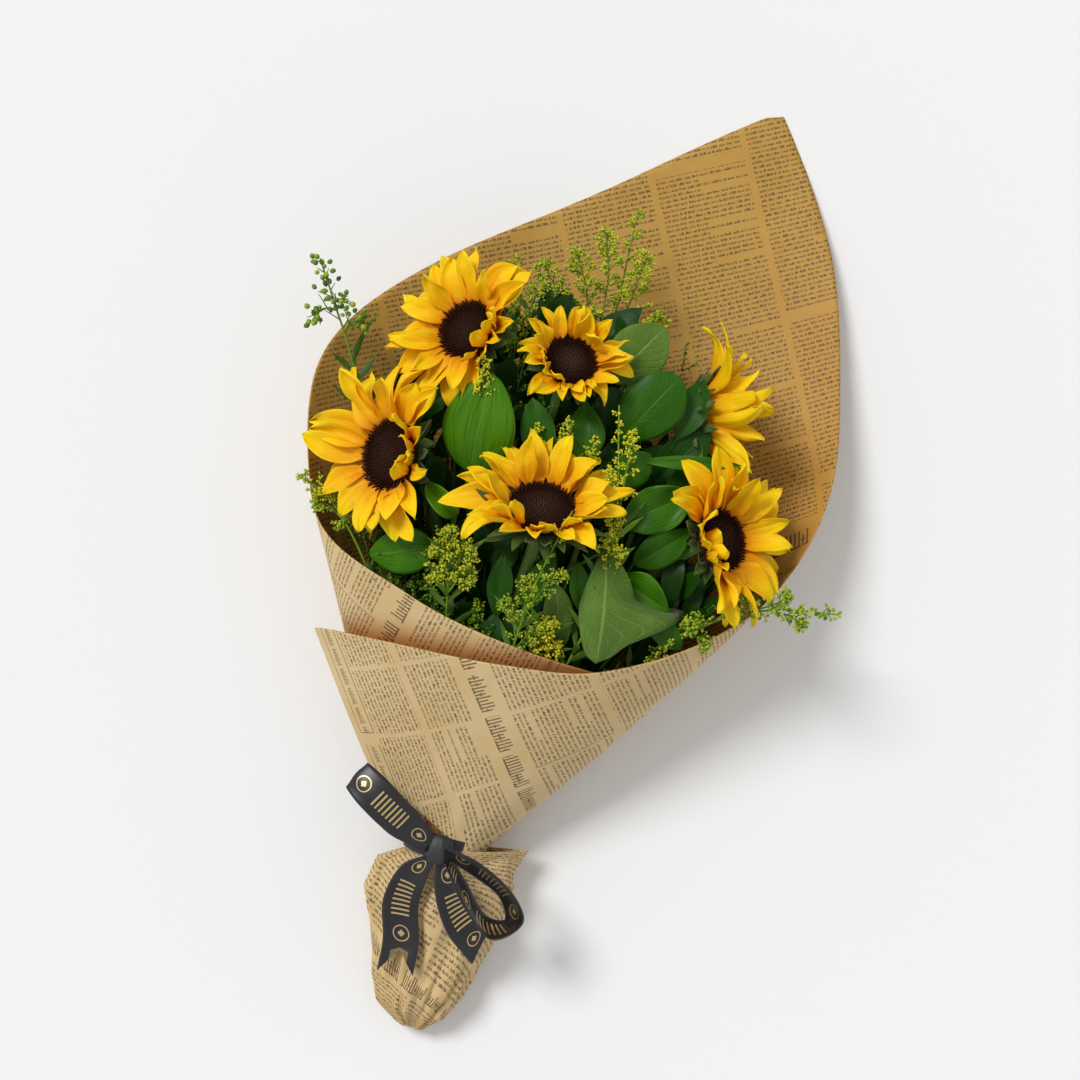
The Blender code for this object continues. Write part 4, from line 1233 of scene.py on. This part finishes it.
def floweringArm(gather, points, bloomFrom, twigs, settings, dice):
    # side twigs that leave a branch all round, shorter towards its tip
    for k in range(twigs):
        t = (k + 0.5) / twigs
        at = mix(bloomFrom, 0.99, t)
        base, onward = through(points, at), ahead(points, at)
        side, other = squareTo(onward)
        spin = k * spiral + dice.uniform(-0.4, 0.4)
        outward = side * math.cos(spin) + other * math.sin(spin)
        if settings["kind"] == "plume":
            outward = (outward + side * (1.2 if k % 2 else -1.2)).normalized()
        length = settings["spread"] * mix(1.0, 0.3, t) * dice.uniform(0.7, 1.2)
        direction = (outward + onward * lean[settings["kind"]]).normalized()
        floweringTwig(gather, base, direction, length, settings, dice)


def lanceLeaves(gather, points, low, high, count, tone, dice):
    # narrow leaves all the way up a stalk
    for k in range(count):
        at = mix(low, high, (k + 0.5) / count)
        base, onward = through(points, at), ahead(points, at)
        side, other = squareTo(onward)
        spin = k * spiral
        direction = (side * math.cos(spin) + other * math.sin(spin) + onward * 0.9).normalized()
        face = direction.cross(side).normalized()
        tip = base + direction * dice.uniform(0.018, 0.034)
        beyond = tip + direction * 0.004
        if clearOfPaper(beyond) and clearOfPaper(tip - upright * 0.004) and clearOfHeads(tip):
            blade(gather, base, tip, face, lance, tone * dice.uniform(0.5, 1.4), 2, 6)


spiral = 2.4  # radians from one twig or leaf round a stalk to the next
lance = {"bulge": 0.002, "widest": 0.45, "blunt": 1.1, "width": 0.0046, "fold": 0.2,
         "round": 0.0, "wave": 0.05}


def makeSprig(name, finish):
    settings = sprigs[name]
    dice = random.Random(name)
    heading, lane = settings["lane"]
    turn = math.radians(heading)
    start = tie + Vector((lane * math.cos(turn), 0, lane * math.sin(turn)))
    points = [start, *[Vector(p) for p in settings["route"]]]
    steps = 44
    route = [through(points, k / steps) for k in range(steps + 1)]
    gather = Gather()
    gather.tube(route, [mix(0.0013, 0.0005, k / steps) for k in range(steps + 1)], 6,
                0.18 + settings["tone"] * 0.3)
    bloomFrom = 1 - settings["bloom"]
    floweringArm(gather, points, bloomFrom, settings["twigs"], settings, dice)
    for at, tip in settings["arms"]:
        base, tip = through(points, at), Vector(tip)
        middle = base.lerp(tip, 0.5) + ahead(points, at) * 0.25 * (tip - base).length
        branch = [base, middle, tip]
        arc = [through(branch, k / 10) for k in range(11)]
        gather.tube(arc, [mix(0.0008, 0.0004, k / 10) for k in range(11)], 5,
                    0.15 + settings["tone"] * 0.3)
        floweringArm(gather, branch, 0.25, settings["twigs"] * 2 // 3, settings, dice)
    low, high = settings.get("leafy", (0.24, min(bloomFrom + 0.2, 0.95)))
    lanceLeaves(gather, points, low, high, 40, 0.08 + 0.2 * settings["tone"], dice)
    piece = gather.build(name + "_sprig", finish)
    finished(piece, (name,))


undergrowth = {"leaves": 380, "middle": (-0.002, 0.040), "reach": (0.132, 0.124),
               "low": 0.030, "high": 0.088, "length": (0.024, 0.046), "width": (0.010, 0.022),
               "sprays": 190, "spray": 0.034, "twigs": (0.020, 0.012),
               # the leaf tone cap keeps the undergrowth leaves near-black: painted shade deep in
               # the cone
               "share": 0.90, "shadeLeafTone": 0.14,
               # leaves seen between the heads: base, tip, width, tone
               "between": (
                   ((0.046, 0.076, 0.112), (0.112, 0.094, 0.112), 0.010, 0.50),
                   ((0.012, 0.002, 0.112), (0.004, -0.044, 0.104), 0.018, 0.30),
                   ((0.028, 0.000, 0.118), (0.042, -0.032, 0.114), 0.015, 0.42),
                   ((-0.104, 0.058, 0.104), (-0.088, 0.086, 0.112), 0.018, 0.22),
                   ((-0.012, 0.052, 0.108), (-0.034, 0.094, 0.112), 0.024, 0.28),
                   ((0.000, 0.026, 0.104), (-0.030, 0.036, 0.106), 0.020, 0.20),
                   ((0.084, -0.020, 0.104), (0.112, -0.034, 0.102), 0.018, 0.34),
                   ((-0.020, -0.010, 0.104), (-0.012, -0.052, 0.098), 0.018, 0.20),
                   ((0.066, 0.098, 0.098), (0.072, 0.142, 0.092), 0.024, 0.18),
                   # the next two, toned near-black, are painted shade filling the gap by the heads
                   ((0.070, 0.052, 0.096), (0.100, 0.094, 0.094), 0.030, 0.12),
                   ((0.060, 0.064, 0.090), (0.086, 0.112, 0.092), 0.030, 0.10),
                   ((-0.006, 0.112, 0.088), (-0.020, 0.152, 0.082), 0.022, 0.22)),
               # little flowering sprays: tip, bud tone
               "small": (
                   ((-0.070, 0.108, 0.136), 0.70), ((-0.024, 0.078, 0.118), 0.66),
                   ((-0.006, 0.088, 0.116), 0.66), ((0.014, 0.082, 0.120), 0.62),
                   ((0.053, 0.018, 0.130), 0.74), ((0.045, 0.033, 0.130), 0.72),
                   ((-0.026, -0.044, 0.096), 0.46), ((-0.065, -0.032, 0.094), 0.42),
                   ((-0.094, -0.014, 0.090), 0.40), ((-0.128, -0.006, 0.082), 0.40),
                   ((0.104, -0.030, 0.106), 0.56), ((0.116, -0.008, 0.106), 0.50),
                   ((0.036, 0.160, 0.080), 0.60), ((-0.012, -0.062, 0.090), 0.44))}


def makeUndergrowth(leafFinish, sprayFinish):
    dice = random.Random("undergrowth")
    gather, sprays = Gather(), Gather()
    spray = {"kind": "cluster", "buds": 9, "size": 0.0018, "tone": 0.26}
    for k in range(undergrowth["leaves"] + undergrowth["sprays"]):
        share, turn = math.sqrt(dice.random()), dice.uniform(0, 2 * math.pi)
        x = undergrowth["middle"][0] + undergrowth["reach"][0] * share * math.cos(turn)
        y = undergrowth["middle"][1] + undergrowth["reach"][1] * share * math.sin(turn)
        z = mix(undergrowth["low"], undergrowth["high"], dice.random()) + 0.012 * (1 - share)
        point = Vector((x, y, z))
        onward = (point - tie).normalized()
        side, other = squareTo(onward)
        direction = (onward + side * dice.uniform(-0.8, 0.8) + other * dice.uniform(-0.3, 0.6))
        direction.normalize()
        if k < undergrowth["leaves"]:
            length = dice.uniform(*undergrowth["length"])
        else:
            length = undergrowth["spray"]
        ends = (point - direction * length / 2, point + direction * length / 2)
        if not all(insideCone(end, undergrowth["share"]) and clearOfHeads(end) for end in ends):
            continue
        if k < undergrowth["leaves"]:
            face = (upright + side * dice.uniform(-0.7, 0.7) - onward * dice.uniform(0, 0.5))
            shape = {"bulge": dice.uniform(0, 0.006), "widest": 0.5, "fold": 0.2, "round": 0.1,
                     "blunt": dice.uniform(0.7, 1.0), "wave": 0.12,
                     "width": dice.uniform(*undergrowth["width"])}
            # painted shade: near-black tones stand in for the shade deep in the cone
            blade(gather, point - direction * length / 2, point + direction * length / 2,
                  face.normalized(), shape, dice.uniform(0, undergrowth["shadeLeafTone"]), 4, 9)
            stalk = [point - direction * length / 2 * (1 - t) - onward * 0.045 * t
                     - direction * length / 2 * t for t in (0, 0.5, 1)]
            gather.tube(stalk, [0.0007, 0.0008, 0.0009], 5, 0.1)
        else:
            long, short = undergrowth["twigs"]
            floweringTwig(sprays, point, direction, long, spray, dice)
            floweringTwig(sprays, point, (direction + side).normalized(), short, spray, dice)
    for base, tip, width, tone in undergrowth["between"]:
        base, tip = Vector(base), Vector(tip)
        shape = {"bulge": 0.004, "widest": 0.5, "fold": 0.2, "round": 0.1, "blunt": 0.8,
                 "wave": 0.12, "width": width}
        blade(gather, base, tip, upright, shape, tone, 8, 14)
        onward = (base - tie).normalized()
        gather.tube([base + (tip - base) * 0.1, base, base - onward * 0.05],
                    [0.0006, 0.0008, 0.0010], 5, tone)
    for tip, tone in undergrowth["small"]:
        tip = Vector(tip)
        onward = (tip - tie).normalized()
        branch = [tip - onward * 0.062 - upright * 0.006,
                  tip - onward * 0.03 + upright * 0.001, tip]
        sprays.tube([through(branch, k / 8) for k in range(9)], [0.0007] * 9, 5, 0.2)
        look = {"kind": "cluster", "buds": 8, "size": 0.0020, "tone": tone, "spread": 0.0075}
        floweringArm(sprays, branch, 0.55, 15, look, dice)
    finished(gather.build("undergrowth_leaves", leafFinish), ())
    finished(sprays.build("undergrowth_sprays", sprayFinish), ())


# each strip's route starts from the middle of the knot; across is its width's direction there
ribbon = {
    "width": 0.025, "thick": 0.0005, "motif": 0.052, "bar": 0.0034,
    "knot": (0.0092, 0.0105, 0.0062),
    "strips": {
        "loop_left": {
            "held": "folded",
            "route": ((-0.006, 0.002, 0.0022), (-0.030, 0.012, 0.010), (-0.055, 0.024, 0.011),
                      (-0.070, 0.032, 0.004), (-0.054, 0.023, -0.002), (-0.030, 0.010, 0.001),
                      (-0.006, 0.001, -0.0012)),
            "across": ((0.004, 0.010, 0), (0.011, 0.021, 0), (0.011, 0.022, 0),
                       (0.010, 0.020, 0), (0.011, 0.022, 0), (0.011, 0.021, 0),
                       (0.004, 0.010, 0))},
        "loop_right": {
            "held": "folded",
            "route": ((0.006, 0, 0.003), (0.028, -0.003, 0.010), (0.052, -0.013, 0.010),
                      (0.064, -0.030, 0.006), (0.048, -0.040, 0.004), (0.026, -0.024, 0.003),
                      (0.006, -0.004, -0.0005)),
            "across": ((0, 0.009, 0.010), (0.002, 0.013, 0.017), (0.007, 0.009, 0.020),
                       (0.011, 0.005, 0.020), (0.009, -0.012, 0.017), (0.003, -0.015, 0.012),
                       (0, -0.009, 0.007))},
        "tail_left": {
            "held": "laid", "swallow": 0.9,
            "route": ((-0.004, -0.006, -0.001), (-0.012, -0.022, -0.006),
                      (-0.014, -0.045, -0.011), (-0.006, -0.070, -0.0135),
                      (-0.003, -0.093, -0.0145)),
            "across": ((0.007, 0, 0), (0.020, -0.004, 0.001), (0.025, 0.002, 0),
                       (0.025, 0.004, 0), (0.025, 0.004, 0))},
        "tail_right": {
            "held": "laid", "slant": 0.6,
            "route": ((0.0045, -0.006, -0.001), (0.016, -0.024, -0.006),
                      (0.030, -0.044, -0.0105), (0.052, -0.060, -0.0155)),
            "across": ((0.010, 0.003, 0), (0.019, 0.014, 0), (0.015, 0.021, 0),
                       (0.012, 0.022, 0))}}}


def makeSatin():
    paint = Finish("satinBlack", Sheen_Weight=0.12, Sheen_Roughness=0.3, Specular_IOR_Level=0.42)
    u, v = paint.cut()
    weave = (u * 900).wave() * 0.5 + 0.5
    soft = paint.clouds(paint.place(), 40, 3)
    cloth = paint.blend((0.005, 0.0045, 0.006), (0.012, 0.011, 0.015), soft.ease(0.4, 0.75))
    edge = (u - ribbon["width"] / 2).size()
    hem = edge.above(ribbon["width"] * 0.455)
    cloth = paint.blend(cloth, (0.030, 0.029, 0.036), hem * 0.5)
    across = edge.below(ribbon["width"] * 0.25)
    motif = (v / ribbon["motif"]).part()
    bars = (v / ribbon["bar"]).part().above(0.62) * motif.above(0.50) * across
    fromCentre = motif * ribbon["motif"] - 0.012
    dots = fromCentre.power(2) + edge.power(2)
    ring = dots.below(0.0058 ** 2) * dots.above(0.0050 ** 2)
    lozenge = (fromCentre.size() + edge).below(0.0026)
    gold = bars.most(ring).most(lozenge)
    cloth = paint.blend(cloth, (0.50, 0.36, 0.16), gold)
    paint.relief(weave * 0.3 + soft, 0.0003, 0.25)
    return paint.done(Base_Color=cloth, Metallic=gold * 0.9, Roughness=0.36 + hem * 0.15)


def strip(name, node, route, widths, finish, held, swallow=0.0, slant=0.0):
    # a length of ribbon, its end cut to a swallowtail or on the slant
    rows, columns = 64, 12
    lengths = [0.0]
    for k in range(rows):
        step = through(route, (k + 1) / rows) - through(route, k / rows)
        lengths.append(lengths[-1] + step.length)

    def place(u, v):
        cut = v
        if v > 0.8:
            reach = (v - 0.8) / 0.2
            cut = v - reach * (swallow * (1 - abs(2 * u - 1)) + slant * u) * 0.2
        point = through(route, cut)
        across = through(widths, cut)
        onward = through(route, min(cut + 0.01, 1)) - through(route, max(cut - 0.01, 0))
        normal = across.cross(onward)
        normal = normal.normalized() if normal.length > 0 else upright
        curl = 0.0007 * math.cos(math.pi * (2 * u - 1)) + 0.0005 * math.sin(9 * cut + 3 * u)
        return point + across * (u - 0.5) + normal * curl

    gather = Gather()
    gather.sheet(place, columns, rows,
                 spot=lambda u, v: (u * ribbon["width"], lengths[round(v * rows)]))
    piece = gather.build(name, finish, ribbon["thick"])
    finished(piece, (node,))
    print(name, "length", round(lengths[-1], 3))


def makeRibbon():
    finish = makeSatin()
    low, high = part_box("ribbon_knot")
    middle = (Vector(low) + Vector(high)) / 2
    for name, cut in ribbon["strips"].items():
        strip("ribbon_" + name + "_satin", "ribbon_" + name,
              [middle + Vector(p) for p in cut["route"]], [Vector(p) for p in cut["across"]],
              finish, cut["held"], cut.get("swallow", 0.0), cut.get("slant", 0.0))
    wide, long, deep = ribbon["knot"]

    def knotPoint(u, v):
        turn = 2 * math.pi * u
        tall = math.cos(math.pi * v)
        ring = math.sin(math.pi * v) ** 0.7
        folds = 1 + 0.10 * math.cos(5 * turn + 2 * tall) * ring
        pinched = 0.86 + 0.14 * abs(tall)
        return middle + Vector((wide * ring * math.cos(turn) * folds * pinched,
                                -long * tall, deep * ring * math.sin(turn) * folds))

    gather = Gather()
    gather.sheet(knotPoint, 40, 24, spot=lambda u, v: (0.0005 + 0.001 * u, 0.03 + 0.01 * v))
    piece = gather.build("ribbon_knot_satin", finish)
    closeSeam(piece)
    finished(piece, ("ribbon_knot",))
    cadNodes["ribbon_band"].data.materials.clear()
    cadNodes["ribbon_band"].data.materials.append(finish)


def makeStemFinish():
    paint = Finish("stemGreen", Specular_IOR_Level=0.35)
    where = paint.place()
    streaks = paint.clouds(where, 240, 3)
    soft = paint.clouds(where, 30, 2)
    base = paint.blend((0.040, 0.100, 0.010), (0.100, 0.190, 0.025), soft.ease(0.3, 0.7))
    base = paint.blend(base, (0.20, 0.28, 0.08), streaks.ease(0.58, 0.72) * 0.35)
    paint.relief(streaks, 0.0004, 0.5)
    return paint.done(Base_Color=base, Roughness=0.6 + streaks * 0.2)


def makeTwineFinish():
    paint = Finish("twineJute", Specular_IOR_Level=0.2)
    parts = paint.node("ShaderNodeSeparateXYZ", None, {0: paint.place()})
    x, y, z = (Value(paint, s) for s in parts.outputs)
    strands = ((x + z) * 2400 + y * 3600).wave() * 0.5 + 0.5
    base = paint.blend((0.26, 0.17, 0.08), (0.50, 0.37, 0.20), strands)
    paint.relief(strands, 0.0004, 0.7)
    return paint.done(Base_Color=base, Roughness=0.85)


def dressCarriers():
    stem, twine = makeStemFinish(), makeTwineFinish()
    for name, node in cadNodes.items():
        if name.endswith("_stem") or name.startswith("twig_") or name == "stem_twine":
            node.data.materials.clear()
            node.data.materials.append(twine if name == "stem_twine" else stem)


makeStudio()
print("studio ready")
makeWrap()
makeFoot()
print("paper rolled")
petalFinish, discFinish, bractFinish = makePetalFinish(), makeDiscFinish(), makeBractFinish()
for flower in flowers:
    makeHead(flower, petalFinish, discFinish, bractFinish)
print("flower heads made")
skins = {"glossy": makeGlossyFinish(), "downy": makeDownyFinish()}
for leaf in leaves:
    makeLeaf(leaf, skins)
print("leaves made")
goldenrodFinish = makeGoldenrodFinish()
for sprig in sprigs:
    makeSprig(sprig, goldenrodFinish)
makeUndergrowth(skins["glossy"], goldenrodFinish)
print("goldenrod made")
makeRibbon()
dressCarriers()
print("ribbon tied")
